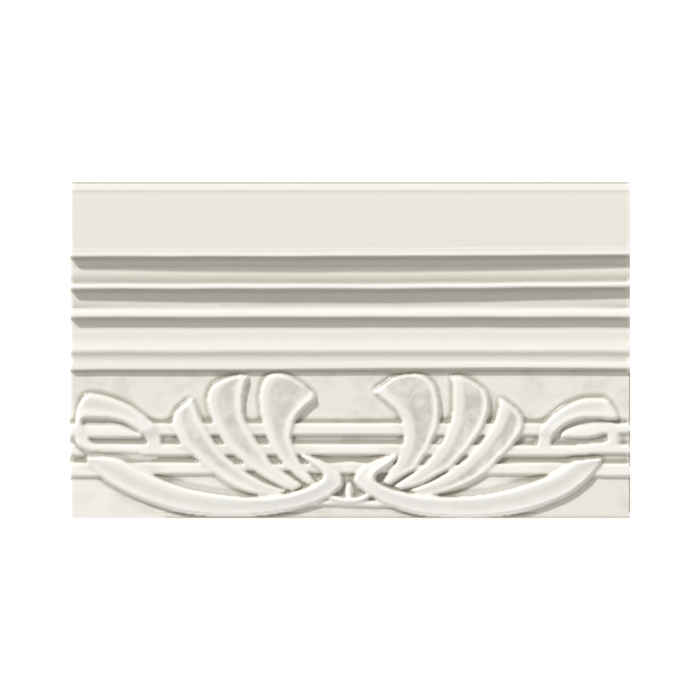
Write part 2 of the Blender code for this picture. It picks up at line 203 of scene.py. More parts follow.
def frieze_section(start):
    """The flat ground of the frieze in close rows, ending in the rounded lower edge."""
    bottom = -HEIGHT / 2
    rounding = LOWER_EDGE_ROUNDING
    count = round((start - bottom - rounding) / FRIEZE_ROW)
    step = (start - bottom - rounding) / count
    points = [(start - step * i, GROUND) for i in range(1, count + 1)]
    return points + arc((bottom + rounding, GROUND - rounding), rounding, 90, 180)[1:]


moulding = moulding_section()
section = moulding + frieze_section(moulding[-1][0])
FRIEZE_TOP = moulding[-1][0]
print(f"section has {len(section)} rows, {len(moulding)} of them in the moulding")

# %% [markdown]
# ## The ornament as ladders
# Each leaf, loop and scroll is drawn as a ladder: rungs run across it from stem to tip, and each rung
# holds the two points on its edges. A smooth curve through the rail points gives the outline, and a
# section across each rung gives the modelling: rims, dishes and crests. Sculpting or drawn curves
# could do it too, but a ladder is easy to read and to correct by a few tenths of a millimetre. The two
# halves were modelled by hand and are not quite mirror images, so each side has its own ladders.

# %% Leaves, in millimetres from the middle of the face
LEAVES = {
    "left outer": (
        ((-33, -65.6), (-28, -63)),
        ((-42, -64.6), (-36.5, -60.1)),
        ((-52, -61), (-44.7, -55.8)),
        ((-61, -55), (-51.5, -50.9)),
        ((-69, -48), (-57, -46)),
        ((-74.5, -43), (-61, -40.5)),
        ((-77.3, -37.5), (-64, -35.5)),
        ((-79, -32.5), (-66.5, -31)),
        ((-77.5, -27.5), (-68.5, -26)),
        ((-73.5, -24), (-70, -23)),
        ((-71, -22), (-70.3, -21.7)),
    ),
    "left middle": (
        ((-26, -63), (-21, -60.7)),
        ((-32, -60.4), (-27.5, -56.1)),
        ((-40, -55.8), (-34, -52)),
        ((-47.5, -50.3), (-38, -46)),
        ((-54.5, -43.5), (-41.5, -41)),
        ((-59, -36.5), (-44.5, -36)),
        ((-62, -29.5), (-47, -31)),
        ((-63.5, -23), (-48, -25)),
        ((-62, -17.2), (-47.5, -19)),
        ((-57.3, -13.6), (-46.5, -14.8)),
        ((-50.6, -11.6), (-45.6, -12.5)),
        ((-47, -11.5), (-45.3, -12)),
    ),
    "left inner": (
        ((-18.3, -60.4), (-15.2, -59.2)),
        ((-22.8, -57.3), (-17.8, -56.2)),
        ((-28.4, -52.1), (-21, -52)),
        ((-33.3, -46), (-24, -47)),
        ((-36.7, -39.5), (-26, -40)),
        ((-38.8, -32.5), (-25.5, -34)),
        ((-40, -25), (-23, -29)),
        ((-39.8, -18), (-19.8, -25.7)),
        ((-37, -12), (-16.8, -23)),
        ((-30, -10.8), (-15.8, -22)),
        ((-22, -14.8), (-15.4, -21.3)),
        ((-18.6, -17.5), (-15.3, -21)),
        ((-16, -19.9), (-15.2, -20.8)),
    ),
    "right inner": (
        ((17.6, -60.5), (14.8, -59.2)),
        ((23.8, -56.2), (17.5, -54.8)),
        ((29.2, -53), (20.8, -50)),
        ((33.8, -46.3), (23.3, -44)),
        ((36.8, -40.5), (24.3, -38.5)),
        ((39.1, -34.5), (23.8, -33)),
        ((40.1, -28), (21.8, -28.5)),
        ((39.5, -21.5), (18.5, -25.2)),
        ((37.2, -15), (15, -22.3)),
        ((30.5, -11), (12.3, -20.2)),
        ((20, -12.4), (10.8, -19)),
        ((15.3, -15.5), (10.6, -18.8)),
        ((11.2, -18.2), (10.5, -18.7)),
    ),
    "right middle": (
        ((23, -62.4), (19.6, -60.9)),
        ((32, -59.8), (25.5, -57)),
        ((39, -55.9), (31.5, -52.8)),
        ((45.9, -51.8), (37, -47.3)),
        ((51.5, -45.5), (41, -41.5)),
        ((56.7, -39), (43.8, -36)),
        ((60.2, -32.5), (45.6, -30)),
        ((62, -26), (46.3, -24)),
        ((61.2, -19.5), (46.3, -18)),
        ((56, -15), (45.8, -14)),
        ((50, -12), (45.3, -12.5)),
        ((46.8, -11.8), (45.2, -12.3)),
    ),
    "right outer": (
        ((34, -65.6), (26.5, -62.7)),
        ((42.5, -63.5), (34.3, -59.8)),
        ((50.8, -60.6), (41.2, -56.3)),
        ((58.4, -56.6), (48, -51.8)),
        ((65.9, -49.6), (54.5, -46.5)),
        ((72, -43), (59, -41)),
        ((75.8, -38), (62.8, -35.5)),
        ((77.5, -32.5), (65.2, -30.5)),
        ((75.4, -28), (66.5, -26)),
        ((71, -24.2), (67, -23)),
        ((68, -22.2), (66.8, -21.9)),
    ),
}
print(f"{len(LEAVES)} leaves")

# %% Loops and scrolls
LOOPS = {
    "left loop": (
        ((-84, -42.5), (-90.3, -43.5)),
        ((-84.8, -38), (-91, -39.5)),
        ((-87, -34), (-93.5, -37)),
        ((-90.5, -30.7), (-97, -34.4)),
        ((-95, -27.2), (-102, -31.9)),
        ((-100, -24.2), (-107, -30.7)),
        ((-106, -21.8), (-112, -30.3)),
        ((-112, -20.2), (-116, -30.2)),
        ((-117.5, -20), (-118.5, -30.3)),
        ((-120.7, -24.5), (-119.5, -31.2)),
        ((-122.3, -31), (-119.5, -33.5)),
        ((-123, -36), (-118.2, -36.5)),
        ((-122, -41.5), (-116.8, -39.5)),
        ((-118.8, -44.3), (-115.5, -41.3)),
        ((-113, -45.3), (-112.5, -42.1)),
        ((-104, -45.9), (-104, -42.1)),
    ),
    "right loop": (
        ((83.8, -43), (89.3, -43.5)),
        ((84.5, -38), (90.2, -39.8)),
        ((86, -34.3), (92, -37)),
        ((88.7, -30.8), (95.5, -33.9)),
        ((93, -27.4), (99.5, -31.9)),
        ((98, -24.3), (103.5, -30.7)),
        ((104, -22.1), (108, -30.5)),
        ((110, -21.6), (112, -30.6)),
        ((114.6, -22.4), (114.8, -30.7)),
        ((117.8, -26.3), (117.4, -30.8)),
        ((119.9, -29.9), (118.8, -30.9)),
    ),
}
SCROLLS = {
    "left scroll": (
        ((-117.2, -48.2), (-117.2, -49.3)),
        ((-110, -47.8), (-113, -54.2)),
        ((-103.5, -48.6), (-108.5, -58.8)),
        ((-97, -51.8), (-101, -63.2)),
        ((-90, -55.3), (-93, -66.8)),
        ((-80, -59.5), (-82, -70.5)),
        ((-70, -62.5), (-71, -72.8)),
        ((-55, -65), (-56, -74)),
        ((-40, -65.7), (-40, -73.4)),
        ((-28, -64.3), (-27, -71.5)),
        ((-19, -61.5), (-15.5, -68.3)),
        ((-14.4, -59.1), (-8, -64.5)),
        ((-12.2, -57.2), (-3.6, -60.3)),
        ((-12.4, -54.9), (-3.9, -56.2)),
        ((-14.4, -52.8), (-7, -52.9)),
        ((-17.2, -50.9), (-11.6, -49.9)),
        ((-20, -48.7), (-17, -47.9)),
        ((-21.8, -47.3), (-21.3, -47)),
    ),
    "right scroll": (
        ((112, -48.8), (112.3, -50)),
        ((106, -48.9), (110, -53)),
        ((99.5, -49.8), (106, -58)),
        ((94, -53.8), (98.5, -64)),
        ((87, -57), (90, -68)),
        ((79, -59.8), (80.5, -71.2)),
        ((69, -62.8), (70, -73.3)),
        ((58, -64.8), (57, -74.4)),
        ((45, -65.6), (43, -74.3)),
        ((33, -65), (29, -72.8)),
        ((22, -63.2), (17, -69)),
        ((15, -60.8), (7.5, -64)),
        ((11.7, -58.4), (2.6, -59.7)),
        ((11.6, -56), (2.1, -56.6)),
        ((13.8, -53.6), (5.4, -53)),
        ((17, -51.8), (10.4, -49.7)),
        ((19.6, -49.4), (15.8, -47.7)),
        ((21.2, -47.5), (20.6, -47.1)),
    ),
}
print(f"{len(LOOPS)} loops, {len(SCROLLS)} scrolls")

# %% Bands, and strips under the loops
BANDS = {
    "upper": (((-88.5, -32.9), (-88.5, -38.3)), ((0, -32.7), (0, -38.1)), ((87, -32.8), (87, -38.3))),
    "upper left end": (((-127, -33), (-127, -38.4)), ((-120.8, -33), (-120.8, -38.4))),
    "upper right end": (((117, -33.1), (117, -37.4)), ((127, -32.7), (127, -37.2))),
    "middle left end": (((-127, -42.2), (-127, -47.1)), ((-123.2, -42.2), (-119.2, -47.3))),
    "middle": (
        ((-116, -42.2), (-116, -45.2)),
        ((-106, -42.2), (-106, -45.9)),
        ((-93, -42.2), (-93, -46.3)),
        ((-85, -42.2), (-85, -47.2)),
        ((0, -42), (0, -46.9)),
        ((88, -42.5), (88, -47.3)),
        ((110, -42.4), (110, -46.5)),
        ((127, -42.3), (127, -46.7)),
    ),
    "lower": (
        ((-127, -50.4), (-127, -56.6)),
        ((-112, -50.3), (-112, -56.6)),
        ((-95, -50.1), (-95, -55.6)),
        ((-62, -50.5), (-62, -55.5)),
        ((-50, -51), (-50, -54)),
        ((-28, -51.1), (-28, -53.9)),
        ((-20, -50.9), (-20, -54.7)),
        ((0, -50), (0, -55.3)),
        ((18, -50.9), (18, -54.5)),
        ((28, -51.4), (28, -53.8)),
        ((50, -51.3), (50, -54)),
        ((62, -50.8), (62, -55.7)),
        ((95, -50.2), (95, -55.7)),
        ((112, -50.6), (112, -56.6)),
        ((127, -50.6), (127, -56.6)),
    ),
    "left loop strip": (
        ((-122, -33.2), (-120.5, -39.2)),
        ((-110, -33), (-110, -39.2)),
        ((-103, -33.4), (-103, -39.2)),
        ((-97, -35.7), (-97, -39.2)),
        ((-92.8, -38.4), (-92.5, -39.2)),
    ),
    "right loop strip": (
        ((95, -36.2), (94.5, -39.1)),
        ((100, -33.9), (100, -39.2)),
        ((108, -32.4), (108, -38.9)),
        ((114, -32.1), (112.5, -37.7)),
        ((118.4, -32.6), (114.6, -37.4)),
        ((120.5, -37), (115.2, -38.4)),
        ((121, -41), (115, -40.4)),
        ((119, -45.6), (112.5, -41.3)),
        ((111, -46.4), (106, -41.8)),
        ((103, -46.6), (101, -41.9)),
    ),
}
print(f"{len(BANDS)} bands and strips")

# %% The small forms: web, shelf, crescent and bud
WEB = (
    ((-19, -68.2), (-19, -69.2)),
    ((-12, -67), (-12, -69.5)),
    ((-6, -67.2), (-6, -69.7)),
    ((0, -67.8), (0, -69.9)),
    ((7, -67.3), (7, -70.2)),
    ((12, -67.5), (12, -70.3)),
    ((19, -68.9), (19, -70)),
)
SHELF = (
    ((-118, -45), (-117, -48.5)),
    ((-105, -45.5), (-105, -49.5)),
    ((-95, -46.4), (-95, -49.8)),
    ((-86, -47.7), (-86, -49.2)),
)
CRESCENT = (
    ((-10.7, -64.7), (-10.9, -65.3)),
    ((-7.2, -65.1), (-7.8, -67.3)),
    ((-2.2, -66.2), (-2.2, -68.4)),
    ((2.8, -66), (3.2, -68.2)),
    ((6.6, -64.7), (7.4, -66.8)),
    ((9.2, -64.2), (9.6, -64.8)),
)
BUD = (
    ((-0.9, -59.6), (0.3, -59.6)),
    ((-1.9, -60.9), (1.2, -60.9)),
    ((-2.6, -62.9), (1.9, -62.9)),
    ((-2.8, -64.7), (2.1, -64.7)),
    ((-2.2, -66.3), (1.6, -66.3)),
)

print(f"shelf of {len(SHELF)} rungs, web of {len(WEB)}, crescent of {len(CRESCENT)}, bud of {len(BUD)}")

# %% [markdown]
# ## Painted light on the low ground
# In some shaded gaps, beside the scrolls and in the lower left corner, the low ground is painted paler
# than the corners around it: painted light that lifts the shade and the dark corner colour there. It
# could be painted in the material, but as low ladders these places are placed in the same way as the
# forms. Each has an amount from 0 to 1 and then its rungs.

# %% Places of painted light
PAINTED_LIGHT_PATCHES = (
    (0.55, (
        ((-80, -57.6), (-80, -60.6)),
        ((-70, -57.6), (-70, -63.6)),
        ((-63, -57.7), (-63, -64.8)),
        ((-57, -59.8), (-57, -65.8)),
        ((-50, -63), (-50, -66.4)),
        ((-46, -64.8), (-46, -66.4)),
    )),
    (0.55, (
        ((80, -57.9), (80, -60.4)),
        ((70, -58.2), (70, -63.4)),
        ((62, -58.4), (62, -64.8)),
        ((56, -60.4), (56, -65.8)),
        ((50, -63), (50, -66.4)),
        ((46, -64.6), (46, -66.4)),
    )),
    (0.6, (
        ((-125.5, -57.6), (-125.5, -75.5)),
        ((-114, -59), (-114, -75.5)),
        ((-102, -66), (-102, -75.5)),
        ((-92, -71.5), (-92, -75.5)),
        ((-82, -74.4), (-82, -75.5)),
    )),
    (0.6, (
        ((-120, -29.8), (-120, -34)),
        ((-110, -29.8), (-110, -33.8)),
        ((-103, -30.8), (-103, -34.2)),
        ((-97, -33.6), (-97, -36.4)),
        ((-93.5, -36.4), (-93, -38.6)),
    )),
    (0.6, (
        ((92, -37.2), (90.5, -41.5)),
        ((96, -33), (95.6, -37)),
        ((100, -31), (100, -34.6)),
        ((108, -29.8), (108, -33.2)),
        ((117, -30), (117, -33)),
    )),
    (0.45, (((30, -38), (30, -43)), ((62, -38), (62, -43)))),
    (0.45, (((24, -46.5), (24, -51.5)), ((55, -46.5), (55, -51.5)))),
)
print(f"{len(PAINTED_LIGHT_PATCHES)} wiped places")

# %% [markdown]
# ## Modelling across the rungs
# The modeller's tools leave a different section on each kind of form. A leaf has a rounded rim along
# both edges and a shallow dish between them. A scroll swells to a crest near its upper edge and falls
# to a thin arris along its lower edge. A band is a flat bar with rounded edges. Each section is a list
# of points: the distance from the form's first edge, the height above the ground, and a mark for the
# colour. Above nought the mark darkens a dish or a scroll's face, partly as pooled glaze and partly as
# painted shade; below nought it lightens the place, as painted light.

# %% Across a leaf or a loop: two rims with a dish between them
QUARTERS = (0.0, 0.25, 0.5, 0.75, 1.0)
CREST_STEPS = (0.0, 0.3, 0.65, 1.0)
LEAF_RISE = 3.2
LOOP_RISE = 3.1
EDGE_DROP = 0.25
RIM_CREST = 0.6
RIM_CREST_SHARE = 0.16
LEFT_BANKS = ((3.3, 3.0), (2.6, 1.8))
RIGHT_BANKS = ((2.1, 1.2), (3.9, 2.6))
LOOP_BANKS = ((2.7, 2.0), (2.7, 2.0))
BANKS_SHARE = 0.92
LEAF_DISH = 0.5
LOOP_DISH = 0.3
LEFT_HOLLOWNESS = 0.75
RIGHT_HOLLOWNESS = 1.0
LOOP_HOLLOWNESS = {"left loop": 0.4, "right loop": 0.1}
DISH_LEAST_WIDTH = 6.0
DISH_FULL_WIDTH = 11.0


def rimmed(width, rise, dish_depth, hollowness, banks):
    """Banks hold the widths of each edge's rim and of the wall that falls from it to the dish."""
    crest = min(RIM_CREST, width * RIM_CREST_SHARE)
    scale = min(1.0, width * BANKS_SHARE / sum(rim + wall for rim, wall in banks))
    fullness = (width - DISH_LEAST_WIDTH) / (DISH_FULL_WIDTH - DISH_LEAST_WIDTH)
    fullness = min(max(fullness, 0.0), 1.0)
    halves = []
    for rim, wall in banks:
        half = []
        for t in CREST_STEPS:
            half.append((crest * t, rise - EDGE_DROP * (1 - math.sin(t * math.pi / 2)), 0.0))
        for t in QUARTERS:
            # The dish's mark darkens its colour, partly as pooled glaze and partly as painted shade.
            hollow = (1 - math.cos(math.pi * t)) / 2 * fullness
            half.append(((rim + wall * t) * scale, rise - dish_depth * hollow, hollow * hollowness))
        halves.append(half)
    first, second = halves
    between = (first[-1][0] + width - second[-1][0]) / 2
    middle = (between, rise - dish_depth * fullness, fullness * hollowness)
    mirrored = [(width - place, height, hollow) for place, height, hollow in reversed(second)]
    return first + [middle] + mirrored


print(f"a rimmed form has {len(rimmed(12.0, LEAF_RISE, LEAF_DISH, 1.0, LEFT_BANKS))} points across it")

# %% Across scrolls, bands, strips, wiped ground and the bud
SCROLL_RISE = 4.0
# The third number of each drop darkens the scroll's face, partly as pooled glaze and partly as painted
# shade where it slopes away from the light.
SCROLL_DROPS = (
    (0.0, 0.9, 0.0), (0.04, 0.4, 0.0), (0.09, 0.1, 0.0), (0.16, 0.0, 0.0), (0.24, 0.05, 0.0),
    (0.36, 0.35, 0.15), (0.5, 0.65, 0.25), (0.7, 0.9, 0.3), (0.81, 0.95, 0.25), (0.88, 0.8, 0.05),
    (0.93, 0.75, 0.0), (0.97, 1.0, 0.0), (1.0, 1.6, 0.0),
)
BAND_RISE = 1.8
BAND_ROUNDING = 0.6
BAND_ROUNDING_SHARE = 0.45
BAND_EDGE_DROP = 0.5
STRIP_SLOPE = 2.4
STRIP_SLOPE_SHARE = 0.4
STRIP_SLOPE_FALL = 1.0
STRIP_PAINTED_LIGHT = 0.3
SHELF_RISE = 0.5
SHELF_PAINTED_LIGHT = 0.4
PAINTED_LIGHT_RISE = 0.03
PAINTED_LIGHT_FADE = 0.8
WEB_RISE = 1.6
CRESCENT_RISE = 2.6
BUD_RISE = 2.4
BUD_STEPS = (0.1, 0.25, 0.4, 0.6, 0.75, 0.9)


def scroll_section(width):
    return [(width * across, SCROLL_RISE - drop, hollow) for across, drop, hollow in SCROLL_DROPS]


def bar(width, rise):
    rounding = min(BAND_ROUNDING, width * BAND_ROUNDING_SHARE)
    half = [(rounding * t, rise - BAND_EDGE_DROP * (1 - math.sin(t * math.pi / 2)), 0.0)
            for t in QUARTERS]
    return half + [(width - place, height, 0.0) for place, height, _ in reversed(half)]


# The slope under the lobe lies in the lobe's shadow, and its mark paints it paler: painted light.
def strip_section(width):
    """A bar that slopes down under the lobe above it."""
    slope = min(STRIP_SLOPE, width * STRIP_SLOPE_SHARE)
    over = []
    for t in QUARTERS:
        lowness = (1 + math.cos(math.pi * t)) / 2
        over.append((slope * t, BAND_RISE - STRIP_SLOPE_FALL * lowness, -STRIP_PAINTED_LIGHT * lowness))
    return over + bar(width, BAND_RISE)[len(QUARTERS):]


def wiped(width, rise, amount):
    """Low ground painted paler than its surroundings, fading in at its upper edge: painted light."""
    fade = min(PAINTED_LIGHT_FADE, width / 2)
    return [(0.0, rise, 0.0), (fade, rise, -amount), (width, rise, -amount)]


def bud_section(width):
    return [(width * t, BUD_RISE * math.sin(math.pi * t), 0.0) for t in BUD_STEPS]


print(f"a band has {len(bar(5.0, BAND_RISE))} points across it")

# %% [markdown]
# ## Lofting the clay forms
# The ladders are lofted into one helper mesh, the bare clay relief. It may overlap itself freely,
# because the glaze is laid over it from above in the next step and only sees its upper skin. Where a
# stem dies into its neighbour, the form sinks: a sink holds the rungs at its start, the rungs at its
# end and the depth.

# %% Helpers for lofting
SINKS = {"left loop": (2, 7, 1.3), "right loop": (2, 0, 1.3), "right loop strip": (0, 2, 0.4)}
LEAF_SINK = (6, 0, 0.8)
NO_SINK = (0, 0, 0.0)
SINK_STEEPNESS = 2.0
STRETCHES = 6
WALL_DRAFT = 0.2
ROOT = GROUND - 1.0


def smooth_line(points):
    """A Catmull-Rom curve through the points."""
    vectors = [Vector(point) for point in points]
    last = len(vectors) - 1
    line = []
    for i in range(last):
        before = vectors[max(i - 1, 0)]
        start = vectors[i]
        end = vectors[i + 1]
        after = vectors[min(i + 2, last)]
        for step in range(STRETCHES):
            t = step / STRETCHES
            line.append(
                0.5 * (2 * start + (end - before) * t
                       + (2 * before - 5 * start + 4 * end - after) * t ** 2
                       + (3 * start - before - 3 * end + after) * t ** 3)
            )
    line.append(vectors[last])
    return line


def sunk(at_rung, last_rung, start_rungs, end_rungs, depth):
    """How far a form has sunk where it dies into its neighbour at its start or its end."""
    share = 0.0
    if at_rung < start_rungs:
        share = SINK_STEEPNESS * (1 - at_rung / start_rungs)
    if last_rung - at_rung < end_rungs:
        share = SINK_STEEPNESS * (1 - (last_rung - at_rung) / end_rungs)
    return depth * min(share, 1.0)


def loft(clay, rungs, section_across, sink=NO_SINK):
    """Add one form to the clay: a row of points across it for every place along it."""
    rows = []
    lefts = smooth_line([rung[0] for rung in rungs])
    rights = smooth_line([rung[1] for rung in rungs])
    for i, (left, right) in enumerate(zip(lefts, rights)):
        width = (right - left).length
        across = (right - left) / width
        top = GROUND - sunk(i / STRETCHES, len(rungs) - 1, *sink)
        row = [(left - across * WALL_DRAFT, ROOT, 0.0)]
        row += [(left + across * place, top + height, hollow)
                for place, height, hollow in section_across(width)]
        row.append((right + across * WALL_DRAFT, ROOT, 0.0))
        rows.append([])
        for at, z, hollow in row:
            vertex = clay.verts.new((at.x * MM, at.y * MM, z * MM))
            vertex[hollows] = hollow
            rows[-1].append(vertex)
    for near, far in zip(rows, rows[1:]):
        for i in range(len(near) - 1):
            clay.faces.new((near[i], near[i + 1], far[i + 1], far[i]))


print(f"{STRETCHES} stretches between rungs")

# %% Loft every ladder into one clay relief
clay = bmesh.new()
hollows = clay.verts.layers.float.new("hollow")
for name, rungs in LEAVES.items():
    on_left = "left" in name
    banks = LEFT_BANKS if on_left else RIGHT_BANKS
    hollowness = LEFT_HOLLOWNESS if on_left else RIGHT_HOLLOWNESS
    loft(clay, rungs, lambda width: rimmed(width, LEAF_RISE, LEAF_DISH, hollowness, banks), LEAF_SINK)
for name, rungs in LOOPS.items():
    hollowness = LOOP_HOLLOWNESS[name]
    loft(
        clay, rungs, lambda width: rimmed(width, LOOP_RISE, LOOP_DISH, hollowness, LOOP_BANKS),
        SINKS.get(name, NO_SINK),
    )
for rungs in SCROLLS.values():
    loft(clay, rungs, scroll_section)
for name, rungs in BANDS.items():
    across = strip_section if "strip" in name else lambda width: bar(width, BAND_RISE)
    loft(clay, rungs, across, SINKS.get(name, NO_SINK))
loft(clay, WEB, lambda width: bar(width, WEB_RISE))
loft(clay, CRESCENT, lambda width: bar(width, CRESCENT_RISE))
# The shelf and the patches below carry marks that paint the ground paler: painted light in shaded gaps.
loft(clay, SHELF, lambda width: wiped(width, SHELF_RISE, SHELF_PAINTED_LIGHT))
for amount, rungs in PAINTED_LIGHT_PATCHES:
    loft(clay, rungs, lambda width: wiped(width, PAINTED_LIGHT_RISE, amount))
loft(clay, BUD, bud_section)
clay_mesh = bpy.data.meshes.new("clay_relief")
clay.to_mesh(clay_mesh)
clay.free()
clay_relief = bpy.data.objects.new("clay_relief", clay_mesh)
bpy.context.scene.collection.objects.link(clay_relief)
print(f"clay relief has {len(clay_mesh.polygons)} faces")

# %% [markdown]
# ## Pooled glaze and painted shade on the moulding
# While the glaze melts it runs off crests and gathers in corners. How much lies at a place follows from
# how far the place is below its surroundings. For the moulding, that is worked out along the section:
# once with near surroundings, for the dark line in each corner, partly pooled glaze and partly painted
# shade, and once with wide ones, for the slow change of tone from crest to hollow. Long lines along the
# tile add painted shade in the outer halves of the shadows and in creases, and painted light on some
# crests and just past some shadows. The two upper treads sag a little in the kiln.

# %% Depth of the glaze, and of painted corner shade, along the section
NEAR_REACH = 1.1
NEAR_STRENGTH = 0.15
WIDE_REACH = 3.0
WIDE_STRENGTH_ALONG = 0.5
OUTSIDE_DROP = 2.5
FINE_STEP = 0.25


def glaze_along(points, reach, strength):
    """How far each point lies below the weighted mean height of the points around it."""
    (first_y, first_z), (last_y, last_z) = points[0], points[-1]
    before = [(first_y + 3 * reach, first_z - OUTSIDE_DROP), (first_y, first_z - OUTSIDE_DROP)]
    after = [(last_y, last_z - OUTSIDE_DROP), (last_y - 3 * reach, last_z - OUTSIDE_DROP)]
    fine = [point for part in (before, points, after) for point in split_long(part, FINE_STEP)]
    depths = []
    for y, z in points:
        weights = [math.exp(-0.5 * ((y - other) / reach) ** 2) for other, _ in fine]
        mean = sum(w * height for w, (_, height) in zip(weights, fine)) / sum(weights)
        depths.append((mean - z) * strength * MM)
    return depths


print(f"glaze is compared over {NEAR_REACH} mm and {WIDE_REACH} mm")

# %% Lines of painted shade and painted light: the place up the face, the reach to each side and the depth, in millimetres
# The top rows are darkened into a thin line along the upper edge: painted shade.
TOP_LINE_SHADE = 0.95
TOP_EDGE_ROWS = 4
SHADE_AND_LIGHT_LINES = (
    (69.9, 2.2, 0.22), (46.6, 2.6, 0.24), (44.1, 1.5, 0.32), (37.4, 1.9, 0.36), (31.0, 2.8, 0.4),
    (28.7, 1.1, 0.3), (23.3, 1.8, 0.3), (20.0, 3.2, 0.38), (8.3, 1.2, -0.4), (0.6, 1.6, -0.6),
    (-4.3, 2.6, 0.42), (-9.6, 1.4, 0.3),
)


def painted_shade_and_light(y):
    """Painted shade above nought and painted light below nought, in lines along the moulding."""
    return sum(depth * (1 + math.cos(math.pi * min(abs(y - line) / reach, 1.0))) / 2
               for line, reach, depth in SHADE_AND_LIGHT_LINES)


def tread_share(y):
    """One on the two upper treads of the moulding and nought elsewhere."""
    treads = ((NOSING_2_FOOT, FASCIA_EDGE - ARRIS), (NOSING_3_FOOT, NOSING_2_EDGE - ARRIS))
    return float(any(foot <= y <= riser for foot, riser in treads))


print(f"{len(SHADE_AND_LIGHT_LINES)} brushed lines")

# %% Section line that carries its glaze and painted shade
section_mesh = bpy.data.meshes.new("section_line")
section_mesh.from_pydata([(0.0, y * MM, z * MM) for y, z in section], [], [])
for name, reach, strength in (
    ("near_glaze", NEAR_REACH, NEAR_STRENGTH), ("wide_glaze", WIDE_REACH, WIDE_STRENGTH_ALONG),
):
    depths = section_mesh.attributes.new(name, "FLOAT", "POINT")
    along = glaze_along(section, reach, strength)
    if name == "near_glaze":
        along = [depth + painted_shade_and_light(y) * MM for depth, (y, _) in zip(along, section)]
    along[:TOP_EDGE_ROWS] = [TOP_LINE_SHADE * MM] * TOP_EDGE_ROWS
    depths.data.foreach_set("value", along)
sagging = section_mesh.attributes.new("sag", "FLOAT", "POINT")
sagging.data.foreach_set("value", [tread_share(y) for y, _ in section])
section_line = bpy.data.objects.new("section_line", section_mesh)
bpy.context.scene.collection.objects.link(section_line)
print(f"section line carries {len(section_mesh.attributes)} attributes")

# %% [markdown]
# ## Colours and a node helper
# Colours are written as the sRGB hex values that an eye or a colour chart gives, and one function turns
# them into the linear values that shaders work in. One small function adds a node to any tree, sets it
# and links it. Sums are easier to read as a table than as a web of wires, so each row of a table below
# names its result, the operation and its two terms. A term is a number, a socket or an earlier result.

# %% Helpers for colours and nodes


def linear(hex_colour):
    """A hex sRGB colour as linear red, green, blue and alpha."""
    channels = [int(hex_colour[i:i + 2], 16) / 255 for i in (0, 2, 4)]
    return tuple(c / 12.92 if c <= 0.04045 else ((c + 0.055) / 1.055) ** 2.4 for c in channels) + (1.0,)


def add_node(tree, kind, inputs=None, output=0, **settings):
    """Add a node and give one of its outputs, or all of them where output is None.

    An input is a value to set or another node's output to link.
    """
    node = tree.nodes.new(kind)
    for setting, value in settings.items():
        setattr(node, setting, value)
    for socket, value in (inputs or {}).items():
        if isinstance(value, bpy.types.NodeSocket):
            tree.links.new(value, node.inputs[socket])
        else:
            node.inputs[socket].default_value = value
    return node.outputs if output is None else node.outputs[output]


def new_material(name):
    material = bpy.data.materials.new(name)
    material.use_nodes = True
    shader = material.node_tree.nodes["Principled BSDF"]
    return material, material.node_tree, shader


print("white is", linear("FFFFFF"))

# %% [markdown]
# ## The glaze
# The finish is a glossy ivory glaze, slightly milky, over a white body. It runs off crests while it
# melts and gathers in every corner, so crests look whiter and corners greyer and more yellow. A glass
# layer with real depth would show that by itself, but it is slow and noisy, so the colour follows
# three attributes of the face instead. The same colours carry painted light too: the dark colour in
# corners and shadows is partly painted shade, and the whiter colour on crests is partly a painted
# highlight. Two attributes say how far each point lies below its near and its wide surroundings, and
# the third darkens dishes above nought, as pooled glaze and painted shade, and lightens patches below
# nought, as painted light. Just outside a corner's dark line on the low ground the colour turns
# paler in a thin halo. The gloss has an IOR of 1.5, as glass has.

# %% Values of the glaze: colours, depths and sizes in millimetres
GLAZE_IVORY = "EEEBE2"
# The thin colour is glaze run thin on crests, and partly a painted highlight.
GLAZE_THIN_HIGHLIGHT = "F8F7F2"
# The pooled colour is glaze pooled in corners, and partly painted shade in corners and shadows.
GLAZE_POOLED_SHADE = "ABA69A"
NEAR_FULL = 0.9
NEAR_MOST = 0.85
HALO_START = 0.06
HALO_END = (0.35, 0.1)
HALO_MOST = 0.45
WIDE_FULL = 1.6
WIDE_STRENGTH = 0.2
DISH_STRENGTH = 0.32
DISH_CLOUD_SIZE = 6.0
DISH_CLOUD_SPAN = (0.35, 0.65)
DISH_CLOUD_RANGE = (0.3, 1.6)
THIN_FULL = -0.8
CLOUD_SIZE = 12.0
CLOUD_SPAN = (0.45, 0.72)
CLOUD_STRENGTH = 0.24
CLOUD_TOP = 9.0
STREAK_SIZE = (30.0, 1.1, 8.0)
STREAK_SPAN = (0.5, 0.75)
STREAK_STRENGTH = 0.04
PEEL_SIZE = 2.5
PEEL_DEPTH = 0.02
GLAZE_ROUGHNESS = 0.16
GLAZE_IOR = 1.5
print(f"a corner is full of glaze {NEAR_FULL} mm below its surroundings")

# %% Read the face's attributes and its height
glaze, tree, shader = new_material("ivory_gloss_glaze")
place = add_node(tree, "ShaderNodeTexCoord", output="Object")
known = {
    name: add_node(tree, "ShaderNodeAttribute", output="Fac", attribute_name=name)
    for name in ("near_glaze", "wide_glaze", "dish_glaze")
}
known["height"] = add_node(tree, "ShaderNodeSeparateXYZ", {0: place}, output="Z")
print(f"glaze reads {len(known)} measures")

